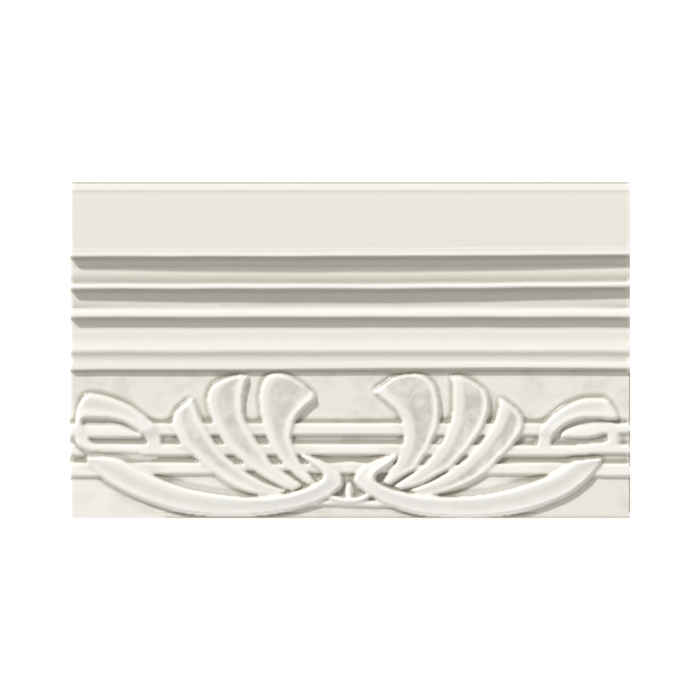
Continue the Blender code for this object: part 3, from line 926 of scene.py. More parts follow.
# %% Patterns: clouds, brush streaks, mottled dishes and the faint peel of the surface
drawn_out = add_node(
    tree, "ShaderNodeVectorMath", {0: place, 1: [1 / (size * MM) for size in STREAK_SIZE]},
    output="Vector", operation="MULTIPLY",
)
for name, pattern in (
    ("clouds", {"Vector": place, "Scale": 1 / (CLOUD_SIZE * MM), "Detail": 3.0, "Roughness": 0.55}),
    ("streaks", {"Vector": drawn_out, "Scale": 1.0, "Detail": 2.0}),
    ("mottling", {"Vector": place, "Scale": 1 / (DISH_CLOUD_SIZE * MM), "Detail": 3.0, "Distortion": 0.6}),
    ("peel", {"Vector": place, "Scale": 1 / (PEEL_SIZE * MM), "Detail": 2.0}),
):
    known[name] = add_node(tree, "ShaderNodeTexNoise", pattern, output="Fac")
print(f"clouds {CLOUD_SIZE} mm wide, streaks {STREAK_SIZE[0]} mm long")

# %% How far each measure has gone from its start to its full value, softened at both ends
# The wide share darkens broad hollows, partly as pooled glaze and partly as painted shade.
for name, measure, start, full, most in (
    ("cloudy", "clouds", CLOUD_SPAN[0], CLOUD_SPAN[1], CLOUD_STRENGTH),
    ("streaky", "streaks", STREAK_SPAN[0], STREAK_SPAN[1], STREAK_STRENGTH),
    ("by the ground", "height", CLOUD_TOP * MM, GROUND * MM, 1.0),
    ("near share", "near_glaze", 0.0, NEAR_FULL * MM, NEAR_MOST),
    ("wide share", "wide_glaze", 0.0, WIDE_FULL * MM, WIDE_STRENGTH),
    ("near crest", "near_glaze", 0.0, THIN_FULL * MM, 1.0),
    ("wide crest", "wide_glaze", 0.0, THIN_FULL * MM, 1.0),
    ("halo start", "near_glaze", 0.0, HALO_START * MM, HALO_MOST),
    ("halo end", "near_glaze", HALO_END[0] * MM, HALO_END[1] * MM, 1.0),
    ("in a dish", "dish_glaze", 0.0, 1.0, 1.0),
    ("wiped", "dish_glaze", 0.0, -1.0, 1.0),
):
    known[name] = add_node(
        tree, "ShaderNodeMapRange",
        {"Value": known[measure], "From Min": start, "From Max": full, "To Max": most},
        interpolation_type="SMOOTHSTEP",
    )
# The mottling varies the dishes' darkening at random, partly uneven glaze and partly painted broken
# reflections.
known["mottled"] = add_node(
    tree, "ShaderNodeMapRange",
    {"Value": known["mottling"], "From Min": DISH_CLOUD_SPAN[0], "From Max": DISH_CLOUD_SPAN[1],
     "To Min": DISH_CLOUD_RANGE[0], "To Max": DISH_CLOUD_RANGE[1]},
)
print(f"{len(tree.nodes)} nodes so far")

# %% Sum up the pooled glaze with its painted shade, and the thin glaze with its painted highlight and light
for name, operation, first, second in (
    ("cloudy", "MULTIPLY", "cloudy", "by the ground"),
    ("patterns", "ADD", "cloudy", "streaky"),
    ("in a dish", "MULTIPLY", "in a dish", "mottled"),
    ("in a dish", "MULTIPLY", "in a dish", DISH_STRENGTH),
    ("gathered", "ADD", "near share", "wide share"),
    ("gathered", "ADD", "gathered", "in a dish"),
    ("gathered", "ADD", "gathered", "patterns"),
    ("left there", "SUBTRACT", 1.0, "wiped"),
    ("gathered", "MULTIPLY", "gathered", "left there"),
    ("halo", "MULTIPLY", "halo start", "halo end"),
    ("halo", "MULTIPLY", "halo", "by the ground"),
    ("thinned", "ADD", "wide crest", "near crest"),
    ("thinned", "ADD", "thinned", "halo"),
    ("thinned", "ADD", "thinned", "wiped"),
):
    terms = {0: known.get(first, first), 1: known.get(second, second)}
    clamped = operation == "ADD"
    known[name] = add_node(tree, "ShaderNodeMath", terms, operation=operation, use_clamp=clamped)
print(f"{len(tree.nodes)} nodes so far")

# %% Colour and gloss
# Whitening follows thin glaze, and partly paints highlights on crests and light on the lifted patches.
whitened = add_node(
    tree, "ShaderNodeMix", {0: known["thinned"], 6: linear(GLAZE_IVORY), 7: linear(GLAZE_THIN_HIGHLIGHT)},
    output=2, data_type="RGBA",
)
coloured = add_node(
    tree, "ShaderNodeMix", {0: known["gathered"], 6: whitened, 7: linear(GLAZE_POOLED_SHADE)},
    output=2, data_type="RGBA",
)
bumped = add_node(
    tree, "ShaderNodeBump", {"Strength": 0.5, "Distance": PEEL_DEPTH * MM, "Height": known["peel"]}
)
tree.links.new(coloured, shader.inputs["Base Color"])
tree.links.new(bumped, shader.inputs["Normal"])
shader.inputs["Roughness"].default_value = GLAZE_ROUGHNESS
shader.inputs["IOR"].default_value = GLAZE_IOR
print(f"glaze has {len(tree.nodes)} nodes")

# %% [markdown]
# ## The bare body
# Below the glaze line on the edges, and on the back, the fired white body shows. It is matt and very
# slightly grainy, like fine sandpaper, with a warm tint. The real grain is about 0.1 mm and too fine to
# show, so it is drawn 0.9 mm coarse.

# %% Bare fired body material
BODY_WHITE = "EFEBE2"
BODY_SHADE = "DAD4C8"
BODY_GRAIN = 0.9
GRAIN_DEPTH = 0.08
PATCH_SIZE = 25.0
BODY_ROUGHNESS = 0.85

biscuit, tree, shader = new_material("bare_fired_porcelain")
place = add_node(tree, "ShaderNodeTexCoord", output="Object")
patches = add_node(
    tree, "ShaderNodeTexNoise",
    {"Vector": place, "Scale": 1 / (PATCH_SIZE * MM), "Detail": 5.0}, output="Fac",
)
tint = add_node(
    tree, "ShaderNodeMix", {0: patches, 6: linear(BODY_WHITE), 7: linear(BODY_SHADE)},
    output=2, data_type="RGBA",
)
grain = add_node(
    tree, "ShaderNodeTexNoise",
    {"Vector": place, "Scale": 1 / (BODY_GRAIN * MM), "Detail": 4.0}, output="Fac",
)
bumped = add_node(
    tree, "ShaderNodeBump", {"Strength": 0.6, "Distance": GRAIN_DEPTH * MM, "Height": grain}
)
tree.links.new(tint, shader.inputs["Base Color"])
tree.links.new(bumped, shader.inputs["Normal"])
shader.inputs["Roughness"].default_value = BODY_ROUGHNESS
print(f"bare body has {len(tree.nodes)} nodes")

# %% [markdown]
# ## Laying the glazed face
# The face is one sheet of small squares. Geometry Nodes give it its rows from the section and its
# columns from the length, let it fall onto the clay relief, and then let it settle as melted glaze
# does: heights are averaged with their neighbours for a few rounds, which rounds every edge and fills
# every corner. A wider average, compared with the surface, tells where glaze pools and where painted
# shade darkens the corners. A Boolean union with bevels would give the same outlines, but not this
# melted look.

# %% Geometry Nodes tree for the face, with its inputs
face_tree = bpy.data.node_groups.new("glazed_face", "GeometryNodeTree")
for name, kind in (
    ("Section", "NodeSocketObject"),
    ("Relief", "NodeSocketObject"),
    ("Length", "NodeSocketFloat"),
    ("Columns", "NodeSocketInt"),
    ("End Rounding", "NodeSocketFloat"),
    ("Frieze Top", "NodeSocketFloat"),
    ("Dry Height", "NodeSocketFloat"),
    ("Flow Rounds", "NodeSocketInt"),
    ("Mark Rounds", "NodeSocketInt"),
    ("Near Rounds", "NodeSocketInt"),
    ("Wide Rounds", "NodeSocketInt"),
    ("Ledge Rows", "NodeSocketInt"),
    ("Upper Frieze", "NodeSocketFloat"),
    ("Upper Share", "NodeSocketFloat"),
    ("End Thinness", "NodeSocketFloat"),
    ("Sag Level", "NodeSocketFloat"),
    ("Skew", "NodeSocketFloat"),
    ("Tilt", "NodeSocketFloat"),
    ("Sag", "NodeSocketFloat"),
    ("Ripple Height", "NodeSocketFloat"),
    ("Ripple Size", "NodeSocketFloat"),
    ("Waver", "NodeSocketFloat"),
    ("Waver Size", "NodeSocketVector"),
    ("Seed", "NodeSocketFloat"),
    ("Glaze", "NodeSocketMaterial"),
):
    face_tree.interface.new_socket(name, in_out="INPUT", socket_type=kind)
face_tree.interface.new_socket("Face", in_out="OUTPUT", socket_type="NodeSocketGeometry")
given = face_tree.nodes.new("NodeGroupInput").outputs
here = add_node(face_tree, "GeometryNodeInputPosition")
found = {}
print(f"tree has {len(face_tree.interface.items_tree)} sockets")

# %% Lay the sheet: rows from the section line, columns from the length
rail = add_node(face_tree, "GeometryNodeObjectInfo", {"Object": given["Section"]}, output="Geometry")
row_count = add_node(
    face_tree, "GeometryNodeAttributeDomainSize", {"Geometry": rail}, output="Point Count"
)
sheet = add_node(
    face_tree, "GeometryNodeMeshGrid",
    {"Size X": 1.0, "Size Y": 1.0, "Vertices X": given["Columns"], "Vertices Y": row_count},
    output="Mesh",
)
flat = add_node(face_tree, "ShaderNodeSeparateXYZ", {0: here}, output=None)
for name, operation, first, second in (
    ("from the top", "SUBTRACT", 0.5, flat["Y"]),
    ("last row", "SUBTRACT", row_count, 1.0),
    ("row", "MULTIPLY", "from the top", "last row"),
    ("row", "ROUND", "row", 0.0),
    ("x", "MULTIPLY", flat["X"], given["Length"]),
):
    terms = {0: found.get(first, first), 1: found.get(second, second)}
    found[name] = add_node(face_tree, "ShaderNodeMath", terms, operation=operation)
for name in ("near_glaze", "wide_glaze", "sag"):
    on_rail = add_node(
        face_tree, "GeometryNodeInputNamedAttribute", {"Name": name}, output="Attribute", data_type="FLOAT"
    )
    on_row = add_node(
        face_tree, "GeometryNodeSampleIndex", {"Geometry": rail, "Value": on_rail, "Index": found["row"]},
        output="Value", data_type="FLOAT", domain="POINT",
    )
    sheet = add_node(
        face_tree, "GeometryNodeStoreNamedAttribute", {"Geometry": sheet, "Name": name, "Value": on_row},
        output="Geometry", data_type="FLOAT", domain="POINT",
    )
rail_spot = add_node(
    face_tree, "GeometryNodeSampleIndex", {"Geometry": rail, "Value": here, "Index": found["row"]},
    output="Value", data_type="FLOAT_VECTOR", domain="POINT",
)
rail_spot = add_node(face_tree, "ShaderNodeSeparateXYZ", {0: rail_spot}, output=None)
spot_on_rail = add_node(
    face_tree, "ShaderNodeCombineXYZ", {"X": found["x"], "Y": rail_spot["Y"], "Z": rail_spot["Z"]}
)
laid = add_node(face_tree, "GeometryNodeSetPosition", {"Geometry": sheet, "Position": spot_on_rail})
print(f"{len(face_tree.nodes)} nodes lay the sheet")

# %% Let the sheet fall onto the relief: a ray looks down on the clay from above each point
RAY_START = 50.0
RAY_LENGTH = 100.0

relief = add_node(face_tree, "GeometryNodeObjectInfo", {"Object": given["Relief"]}, output="Geometry")
above = add_node(
    face_tree, "ShaderNodeVectorMath", {0: here, 1: (0.0, 0.0, RAY_START * MM)},
    output="Vector", operation="ADD",
)
clay_mark = add_node(
    face_tree, "GeometryNodeInputNamedAttribute", {"Name": "hollow"}, output="Attribute", data_type="FLOAT"
)
ray = add_node(
    face_tree, "GeometryNodeRaycast",
    {"Target Geometry": relief, "Source Position": above, "Ray Direction": (0.0, 0.0, -1.0),
     "Ray Length": RAY_LENGTH * MM, "Attribute": clay_mark},
    output=None, data_type="FLOAT",
)
hit_height = add_node(face_tree, "ShaderNodeSeparateXYZ", {0: ray["Hit Position"]}, output="Z")
spot = add_node(face_tree, "ShaderNodeSeparateXYZ", {0: here}, output=None)
for name, operation, first, second in (
    ("on clay", "MAXIMUM", spot["Z"], hit_height),
    ("clay wins", "GREATER_THAN", hit_height, spot["Z"]),
    ("clay wins", "MULTIPLY", "clay wins", ray["Is Hit"]),
    ("hollow", "MULTIPLY", ray["Attribute"], "clay wins"),
):
    terms = {0: found.get(first, first), 1: found.get(second, second)}
    found[name] = add_node(face_tree, "ShaderNodeMath", terms, operation=operation)
height = add_node(
    face_tree, "GeometryNodeSwitch",
    {"Switch": ray["Is Hit"], "False": spot["Z"], "True": found["on clay"]},
    output="Output", input_type="FLOAT",
)
soft_mark = add_node(
    face_tree, "GeometryNodeBlurAttribute",
    {"Value": found["hollow"], "Iterations": given["Mark Rounds"], "Weight": 1.0},
    output="Value", data_type="FLOAT",
)
laid = add_node(
    face_tree, "GeometryNodeStoreNamedAttribute",
    {"Geometry": laid, "Name": "dish_glaze", "Value": soft_mark},
    output="Geometry", data_type="FLOAT", domain="POINT",
)
fallen = add_node(face_tree, "ShaderNodeCombineXYZ", {"X": spot["X"], "Y": spot["Y"], "Z": height})
draped = add_node(face_tree, "GeometryNodeSetPosition", {"Geometry": laid, "Position": fallen})
print(f"{len(face_tree.nodes)} nodes lay and drape the sheet")

# %% Let the glaze level itself, ripple and round the ends
LEFT_END_STEEPNESS = 0.9
RIGHT_END_STEEPNESS = 0.4

for name, operation, first, second in (
    ("in frieze", "LESS_THAN", spot["Y"], given["Frieze Top"]),
    ("half length", "MULTIPLY", given["Length"], 0.5),
    ("rounding start", "SUBTRACT", "half length", given["End Rounding"]),
    ("to the left", "MULTIPLY", spot["X"], -1.0),
):
    terms = {0: found.get(first, first), 1: found.get(second, second)}
    found[name] = add_node(face_tree, "ShaderNodeMath", terms, operation=operation)
settled = add_node(
    face_tree, "GeometryNodeBlurAttribute",
    {"Value": spot["Z"], "Iterations": given["Flow Rounds"], "Weight": found["in frieze"]},
    output="Value", data_type="FLOAT",
)
rippling = add_node(
    face_tree, "ShaderNodeTexNoise",
    {"Vector": here, "W": given["Seed"], "Scale": given["Ripple Size"], "Detail": 1.0},
    output="Fac", noise_dimensions="4D",
)
for name, from_middle, steepness in (
    ("near left", found["to the left"], LEFT_END_STEEPNESS),
    ("near right", spot["X"], RIGHT_END_STEEPNESS),
):
    found[name] = add_node(
        face_tree, "ShaderNodeMapRange",
        {"Value": from_middle, "From Min": found["rounding start"], "From Max": found["half length"],
         "To Max": steepness},
    )
for name, operation, first, second in (
    ("ripple", "SUBTRACT", rippling, 0.5),
    ("ripple", "MULTIPLY", "ripple", given["Ripple Height"]),
    ("level", "ADD", settled, "ripple"),
    ("near end", "MAXIMUM", "near left", "near right"),
    ("square", "MULTIPLY", "near end", "near end"),
    ("rest", "SUBTRACT", 1.0, "square"),
    ("root", "SQRT", "rest", 0.0),
    ("fall", "SUBTRACT", 1.0, "root"),
    ("fall", "MULTIPLY", "fall", given["End Rounding"]),
):
    terms = {0: found.get(first, first), 1: found.get(second, second)}
    found[name] = add_node(face_tree, "ShaderNodeMath", terms, operation=operation)
print(f"{len(face_tree.nodes)} nodes with the levelling and the ends")

# %% [markdown]
# ## A moulding that isn't quite straight
# Wet clay bends when it leaves the mould. So the steps' edges waver, the upper ones drift up towards
# the right end, the fillet rises from left to right, and the two treads sag in the middle. Each is a
# small shift of the points, faded out before it reaches the ornament or the upper edge.

# %% Waver, skew, tilt and sag
WAVER_FADE = 2.0
FASCIA_FADE = (72.0, 60.0)
SKEW_START = 20.0
SKEW_ROWS = ((16.0, 26.0), (60.0, 44.0))
TILT_REACH = 60.0
TILT_ROWS = ((-10.0, -8.8), (-5.0, -7.0))

wide_place = add_node(
    face_tree, "ShaderNodeVectorMath", {0: here, 1: given["Waver Size"]},
    output="Vector", operation="MULTIPLY",
)
wavering = add_node(
    face_tree, "ShaderNodeTexNoise",
    {"Vector": wide_place, "W": given["Seed"], "Scale": 1.0, "Detail": 1.0},
    output="Fac", noise_dimensions="4D",
)
treads = add_node(
    face_tree, "GeometryNodeInputNamedAttribute", {"Name": "sag"}, output="Attribute", data_type="FLOAT"
)
waver_end = add_node(
    face_tree, "ShaderNodeMath", {0: given["Frieze Top"], 1: WAVER_FADE * MM}, operation="ADD"
)
for name, at, start, end in (
    ("above frieze", spot["Y"], given["Frieze Top"], waver_end),
    ("below rim", spot["Y"], FASCIA_FADE[0] * MM, FASCIA_FADE[1] * MM),
    ("to the right", spot["X"], SKEW_START * MM, found["half length"]),
    ("above skew", spot["Y"], SKEW_ROWS[0][0] * MM, SKEW_ROWS[0][1] * MM),
    ("below skew", spot["Y"], SKEW_ROWS[1][0] * MM, SKEW_ROWS[1][1] * MM),
    ("leaning", spot["X"], -TILT_REACH * MM, TILT_REACH * MM),
    ("above tilt", spot["Y"], TILT_ROWS[0][0] * MM, TILT_ROWS[0][1] * MM),
    ("below tilt", spot["Y"], TILT_ROWS[1][0] * MM, TILT_ROWS[1][1] * MM),
):
    found[name] = add_node(
        face_tree, "ShaderNodeMapRange", {"Value": at, "From Min": start, "From Max": end}
    )
for name, operation, first, second in (
    ("waver", "SUBTRACT", wavering, 0.5),
    ("waver", "MULTIPLY", "waver", given["Waver"]),
    ("waver", "MULTIPLY", "waver", "above frieze"),
    ("waver", "MULTIPLY", "waver", "below rim"),
    ("skew rows", "MULTIPLY", "above skew", "below skew"),
    ("skew", "MULTIPLY", "to the right", "skew rows"),
    ("skew", "MULTIPLY", "skew", given["Skew"]),
    ("waver", "ADD", "waver", "skew"),
    ("leaning", "SUBTRACT", "leaning", 0.5),
    ("fillet rows", "MULTIPLY", "above tilt", "below tilt"),
    ("tilt", "MULTIPLY", "leaning", "fillet rows"),
    ("tilt", "MULTIPLY", "tilt", given["Tilt"]),
    ("waver", "ADD", "waver", "tilt"),
    ("along", "DIVIDE", spot["X"], "half length"),
    ("bow", "MULTIPLY", "along", "along"),
    ("bow", "SUBTRACT", given["Sag Level"], "bow"),
    ("sag", "MULTIPLY", "bow", treads),
    ("sag", "MULTIPLY", "sag", given["Sag"]),
    ("fall", "ADD", "fall", "sag"),
    ("lift", "MAXIMUM", "tilt", 0.0),
    ("fall", "SUBTRACT", "fall", "lift"),
    ("y", "ADD", spot["Y"], "waver"),
    ("z", "SUBTRACT", "level", "fall"),
):
    terms = {0: found.get(first, first), 1: found.get(second, second)}
    found[name] = add_node(face_tree, "ShaderNodeMath", terms, operation=operation)
bent = add_node(face_tree, "ShaderNodeCombineXYZ", {"X": spot["X"], "Y": found["y"], "Z": found["z"]})
melted = add_node(face_tree, "GeometryNodeSetPosition", {"Geometry": draped, "Position": bent})
print(f"{len(face_tree.nodes)} nodes with the bends")

# %% [markdown]
# ## Marking pooled glaze and painted shade
# On the moulding the section already says it. On the frieze, each point is compared with the mean
# height around it, near and wide, and the marks darken low corners, partly as pooled glaze and
# partly as painted shade. Wet glaze runs down a standing tile and stops on the ledge above each
# form, so the mean is taken two rows lower and one column to the right, which darkens the upper left
# side of a form. The marks are weaker on the open ground above the bands, on the tops of the forms,
# where the glaze is thin, and at the tile's ends, which are paler as thin glaze and painted light.

# %% Where a mark may be: in the frieze, low down, and not at the ends
ORNAMENT_FADE = 0.6
DRY_FADE = 1.0
LEDGE_END = -72.0
UPPER_FADE = 2.5
THIN_AND_LIT_END = (1.8, 1.0)

spot = add_node(face_tree, "ShaderNodeSeparateXYZ", {0: here}, output=None)
index = add_node(face_tree, "GeometryNodeInputIndex")
for name, operation, first, second in (
    ("ornament end", "SUBTRACT", given["Frieze Top"], ORNAMENT_FADE * MM),
    ("dry end", "SUBTRACT", given["Dry Height"], DRY_FADE * MM),
    ("upper start", "SUBTRACT", given["Upper Frieze"], UPPER_FADE * MM),
    ("inside", "GREATER_THAN", spot["Y"], LEDGE_END * MM),
    ("shift", "SUBTRACT", row_count, given["Ledge Rows"]),
    ("shift", "MULTIPLY", "shift", "inside"),
    ("ledge", "ADD", index, "shift"),
    ("from middle", "ABSOLUTE", spot["X"], 0.0),
    ("from end", "SUBTRACT", "half length", "from middle"),
):
    terms = {0: found.get(first, first), 1: found.get(second, second)}
    found[name] = add_node(face_tree, "ShaderNodeMath", terms, operation=operation)
for name, at, start, end, most in (
    ("ornament", spot["Y"], given["Frieze Top"], found["ornament end"], 1.0),
    ("low down", spot["Z"], given["Dry Height"], found["dry end"], 1.0),
    ("upper", spot["Y"], found["upper start"], given["Upper Frieze"], 1.0),
    ("thin end", found["from end"], THIN_AND_LIT_END[0] * MM, THIN_AND_LIT_END[1] * MM, given["End Thinness"]),
):
    found[name] = add_node(
        face_tree, "ShaderNodeMapRange", {"Value": at, "From Min": start, "From Max": end, "To Max": most}
    )
for name, operation, first, second in (
    ("less", "SUBTRACT", 1.0, given["Upper Share"]),
    ("drawn", "MULTIPLY", "upper", "less"),
    ("drawn", "SUBTRACT", 1.0, "drawn"),
):
    terms = {0: found.get(first, first), 1: found.get(second, second)}
    found[name] = add_node(face_tree, "ShaderNodeMath", terms, operation=operation)
print(f"{len(face_tree.nodes)} nodes with the places for marks")

# %% Mark the glaze and painted shade, near and wide
marked = melted
for name, rounds in (("near_glaze", given["Near Rounds"]), ("wide_glaze", given["Wide Rounds"])):
    around = add_node(
        face_tree, "GeometryNodeBlurAttribute", {"Value": spot["Z"], "Iterations": rounds, "Weight": 1.0},
        output="Value", data_type="FLOAT",
    )
    meant = add_node(
        face_tree, "GeometryNodeStoreNamedAttribute",
        {"Geometry": melted, "Name": "mean_height", "Value": around},
        output="Geometry", data_type="FLOAT", domain="POINT",
    )
    mean_height, on_section = (
        add_node(
            face_tree, "GeometryNodeInputNamedAttribute", {"Name": mark}, output="Attribute",
            data_type="FLOAT",
        )
        for mark in ("mean_height", name)
    )
    found["mean"] = add_node(
        face_tree, "GeometryNodeSampleIndex",
        {"Geometry": meant, "Value": mean_height, "Index": found["ledge"]},
        output="Value", data_type="FLOAT", domain="POINT", clamp=True,
    )
    for result, operation, first, second in (
        ("below", "SUBTRACT", "mean", spot["Z"]),
        ("low below", "MULTIPLY", "below", "low down"),
        ("below", "MINIMUM", "below", "low below"),
        ("below", "MULTIPLY", "below", "drawn"),
    ):
        terms = {0: found.get(first, first), 1: found.get(second, second)}
        found[result] = add_node(face_tree, "ShaderNodeMath", terms, operation=operation)
    mixed = add_node(
        face_tree, "ShaderNodeMix", {0: found["ornament"], 2: on_section, 3: found["below"]},
        data_type="FLOAT",
    )
    depth = add_node(
        face_tree, "ShaderNodeMath", {0: mixed, 1: found["thin end"]}, operation="SUBTRACT"
    )
    marked = add_node(
        face_tree, "GeometryNodeStoreNamedAttribute", {"Geometry": marked, "Name": name, "Value": depth},
        output="Geometry", data_type="FLOAT", domain="POINT",
    )
whole = add_node(face_tree, "GeometryNodeRealizeInstances", {"Geometry": marked})
finished = add_node(face_tree, "GeometryNodeSetMaterial", {"Geometry": whole, "Material": given["Glaze"]})
add_node(face_tree, "NodeGroupOutput", {"Face": finished}, output=None)
print(f"face tree has {len(face_tree.nodes)} nodes")

# %% [markdown]
# ## Running the tree
# The tree's inputs are set on a modifier by their identifiers. The evaluated result becomes a plain
# mesh, and the helpers are removed.

# %% Values for the tree, sizes in millimetres
COLUMNS = 440
END_ROUNDING = 1.1
DRY_RISE = 1.7
FLOW_ROUNDS = 2
MARK_ROUNDS = 4
NEAR_ROUNDS = 20
LEDGE_ROWS = 2
SKEW = 0.8
TILT = 0.7
SAG = 1.2
SAG_LEVEL = 0.6
UPPER_FRIEZE = -29.0
UPPER_SHARE = 0.5
# The tile's ends are made paler, partly as thin glaze on the rounded ends and partly as painted light on
# the lit end strip.
END_THIN_GLAZE_AND_LIGHT = 0.3
WIDE_ROUNDS = 75
RIPPLE_HEIGHT = 0.12
RIPPLE_SIZE = 14.0
WAVER = 0.8
WAVER_SIZE = (45.0, 14.0, 14.0)
SEED = 4.0
print(f"squares about {LENGTH / (COLUMNS - 1):.2f} mm wide")

# %% Make the face mesh
holder = bpy.data.objects.new("glazed_face", bpy.data.meshes.new("glazed_face"))
bpy.context.scene.collection.objects.link(holder)
modifier = holder.modifiers.new("glazed_face", "NODES")
modifier.node_group = face_tree
values = {
    "Section": section_line,
    "Relief": clay_relief,
    "Length": LENGTH * MM,
    "Columns": COLUMNS,
    "End Rounding": END_ROUNDING * MM,
    "Frieze Top": FRIEZE_TOP * MM,
    "Dry Height": (GROUND + DRY_RISE) * MM,
    "Flow Rounds": FLOW_ROUNDS,
    "Mark Rounds": MARK_ROUNDS,
    "Near Rounds": NEAR_ROUNDS,
    "Wide Rounds": WIDE_ROUNDS,
    "Ledge Rows": LEDGE_ROWS,
    "Upper Frieze": UPPER_FRIEZE * MM,
    "Upper Share": UPPER_SHARE,
    "End Thinness": END_THIN_GLAZE_AND_LIGHT * MM,
    "Sag Level": SAG_LEVEL,
    "Skew": SKEW * MM,
    "Tilt": TILT * MM,
    "Sag": SAG * MM,
    "Ripple Height": RIPPLE_HEIGHT * MM,
    "Ripple Size": 1 / (RIPPLE_SIZE * MM),
    "Waver": WAVER * MM,
    "Waver Size": [1 / (size * MM) for size in WAVER_SIZE],
    "Seed": SEED,
    "Glaze": glaze,
}
for item in face_tree.interface.items_tree:
    if item.in_out == "INPUT":
        modifier[item.identifier] = values[item.name]
bpy.context.view_layer.update()
evaluated = holder.evaluated_get(bpy.context.evaluated_depsgraph_get())
face_mesh = bpy.data.meshes.new_from_object(evaluated)
for helper in (holder, clay_relief, section_line):
    bpy.data.objects.remove(helper, do_unlink=True)
print(f"face has {len(face_mesh.polygons)} squares")

# %% [markdown]
# ## Closing the tile
# The sheet's border is drawn down in three steps: to the wavy line where the glaze stops, to the bottom
# arris, and in to the flat back. The back gets the shallow keys that hold adhesive, cut with a Boolean
# as a mould's bars would press them.

# %% Edges drawn down to the back
# The top and bottom border points are darkened into a thin edge line: painted shade.
BORDER_LINE_SHADE = 0.7
EDGE_SLACK = 0.1
GLAZE_RUN = 2.2
GLAZE_WANDER = 0.9
WANDER_SIZE = 9.0
BACK_CHAMFER = 0.6


def extrude_border(body, border, placed, slot):
    """Draw the open border down to new places and return the new border."""
    near_glaze = body.verts.layers.float["near_glaze"]
    for vertex in {vertex for edge in border for vertex in edge.verts}:
        if abs(vertex.co.y) > (HEIGHT / 2 - EDGE_SLACK) * MM:
            vertex[near_glaze] = BORDER_LINE_SHADE * MM
    made = bmesh.ops.extrude_edge_only(body, edges=border)["geom"]
    for vertex in (item for item in made if isinstance(item, bmesh.types.BMVert)):
        vertex.co = placed(vertex.co)
    for wall in (item for item in made if isinstance(item, bmesh.types.BMFace)):
        wall.material_index = slot
    return [item for item in made if isinstance(item, bmesh.types.BMEdge) and item.is_boundary]


def glaze_line(at):
    """The wandering line where the dipped glaze stops."""
    wander = noise.noise(Vector((at.x, at.y, 0.0)) / (WANDER_SIZE * MM)) * GLAZE_WANDER
    return Vector((at.x, at.y, at.z - (GLAZE_RUN + wander) * MM))


def bottom_arris(at):
    return Vector((at.x, at.y, BACK_CHAMFER * MM))


def back_edge(at):
    inner_x = 1 - BACK_CHAMFER / (LENGTH / 2)
    inner_y = 1 - BACK_CHAMFER / (HEIGHT / 2)
    return Vector((at.x * inner_x, at.y * inner_y, 0.0))


body = bmesh.new()
body.from_mesh(face_mesh)
border = [edge for edge in body.edges if edge.is_boundary]
border = extrude_border(body, border, glaze_line, 0)
border = extrude_border(body, border, bottom_arris, 1)
border = extrude_border(body, border, back_edge, 1)
back = bmesh.ops.contextual_create(body, geom=border)["faces"]
for face in back:
    face.material_index = 1
bmesh.ops.recalc_face_normals(body, faces=body.faces)
body.to_mesh(face_mesh)
body.free()
face_mesh.materials.clear()
face_mesh.materials.append(glaze)
face_mesh.materials.append(biscuit)
tile = bpy.data.objects.new("glazed_relief_tile", face_mesh)
bpy.context.scene.collection.objects.link(tile)
print(f"closed tile has {len(face_mesh.polygons)} faces")

# %% Keys in the back
KEY_COUNT = 6
KEY_PITCH = 24.0
KEY_WIDTH = 8.0
KEY_DEPTH = 1.0
KEY_END_MARGIN = 9.0
SHARP_ANGLE = 38

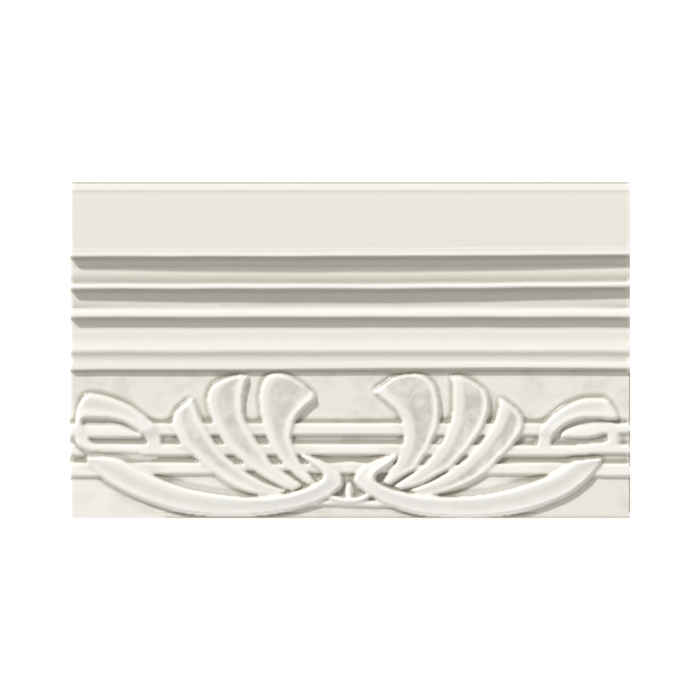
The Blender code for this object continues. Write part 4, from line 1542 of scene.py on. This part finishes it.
keys = bmesh.new()
for i in range(KEY_COUNT):
    key = bmesh.ops.create_cube(keys, size=1.0)["verts"]
    size = (LENGTH - 2 * KEY_END_MARGIN, KEY_WIDTH, 2 * KEY_DEPTH)
    bmesh.ops.scale(keys, vec=[side * MM for side in size], verts=key)
    bmesh.ops.translate(keys, vec=(0.0, (i - (KEY_COUNT - 1) / 2) * KEY_PITCH * MM, 0.0), verts=key)
keys_mesh = bpy.data.meshes.new("back_keys")
keys.to_mesh(keys_mesh)
keys.free()
keys_mesh.materials.append(biscuit)
cutter = bpy.data.objects.new("back_keys", keys_mesh)
bpy.context.scene.collection.objects.link(cutter)
cut = tile.modifiers.new("keys", "BOOLEAN")
cut.operation = "DIFFERENCE"
cut.solver = "EXACT"
cut.material_mode = "TRANSFER"
cut.object = cutter
bpy.context.view_layer.update()
keyed = bpy.data.meshes.new_from_object(tile.evaluated_get(bpy.context.evaluated_depsgraph_get()))
tile.modifiers.remove(cut)
tile.data = keyed
bpy.data.objects.remove(cutter, do_unlink=True)
keyed.shade_smooth()
keyed.set_sharp_from_angle(angle=math.radians(SHARP_ANGLE))
triangles = sum(len(polygon.vertices) - 2 for polygon in keyed.polygons)
print(f"tile has {triangles} triangles")

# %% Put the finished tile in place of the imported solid
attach(tile, "root")
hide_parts("relief_tile")
print(f"{tile.name} stands in for relief_tile")

# %% [markdown]
# ## Floor and light
# The tile lies face up on a pale floor. One soft key light stands off its upper left corner, as high as
# it is far to the side, so a step's shadow is about as long as the step is high. An even white
# surround fills the shadows to a little under half.

# %% Floor
FLOOR_SIZE = 4.0
FLOOR_GLOW = 0.6

floor_material, tree, shader = new_material("pale_floor")
shader.inputs["Base Color"].default_value = linear("FAFAF8")
shader.inputs["Roughness"].default_value = 0.9
shader.inputs["Emission Color"].default_value = linear("FFFFFF")
shader.inputs["Emission Strength"].default_value = FLOOR_GLOW
bpy.ops.mesh.primitive_plane_add(size=FLOOR_SIZE)
floor = bpy.context.active_object
floor.name = "floor"
floor.data.materials.append(floor_material)
print(f"floor {FLOOR_SIZE} m wide")

# %% Key light and surround
KEY_DIRECTION = Vector((-0.75, 1.0, 0.92))
KEY_SOFTNESS = math.radians(5)
KEY_STRENGTH = 2.5
SURROUND_COLOUR = "FFFDF9"
SURROUND_STRENGTH = 0.51

key_data = bpy.data.lights.new("key", "SUN")
key_data.angle = KEY_SOFTNESS
key_data.energy = KEY_STRENGTH
key = bpy.data.objects.new("key", key_data)
key.rotation_euler = KEY_DIRECTION.to_track_quat("Z", "Y").to_euler()
bpy.context.scene.collection.objects.link(key)
surround = bpy.data.worlds.new("surround")
surround.use_nodes = True
surround.node_tree.nodes["Background"].inputs["Color"].default_value = linear(SURROUND_COLOUR)
surround.node_tree.nodes["Background"].inputs["Strength"].default_value = SURROUND_STRENGTH
bpy.context.scene.world = surround
print(f"key {KEY_STRENGTH}, surround {SURROUND_STRENGTH}")
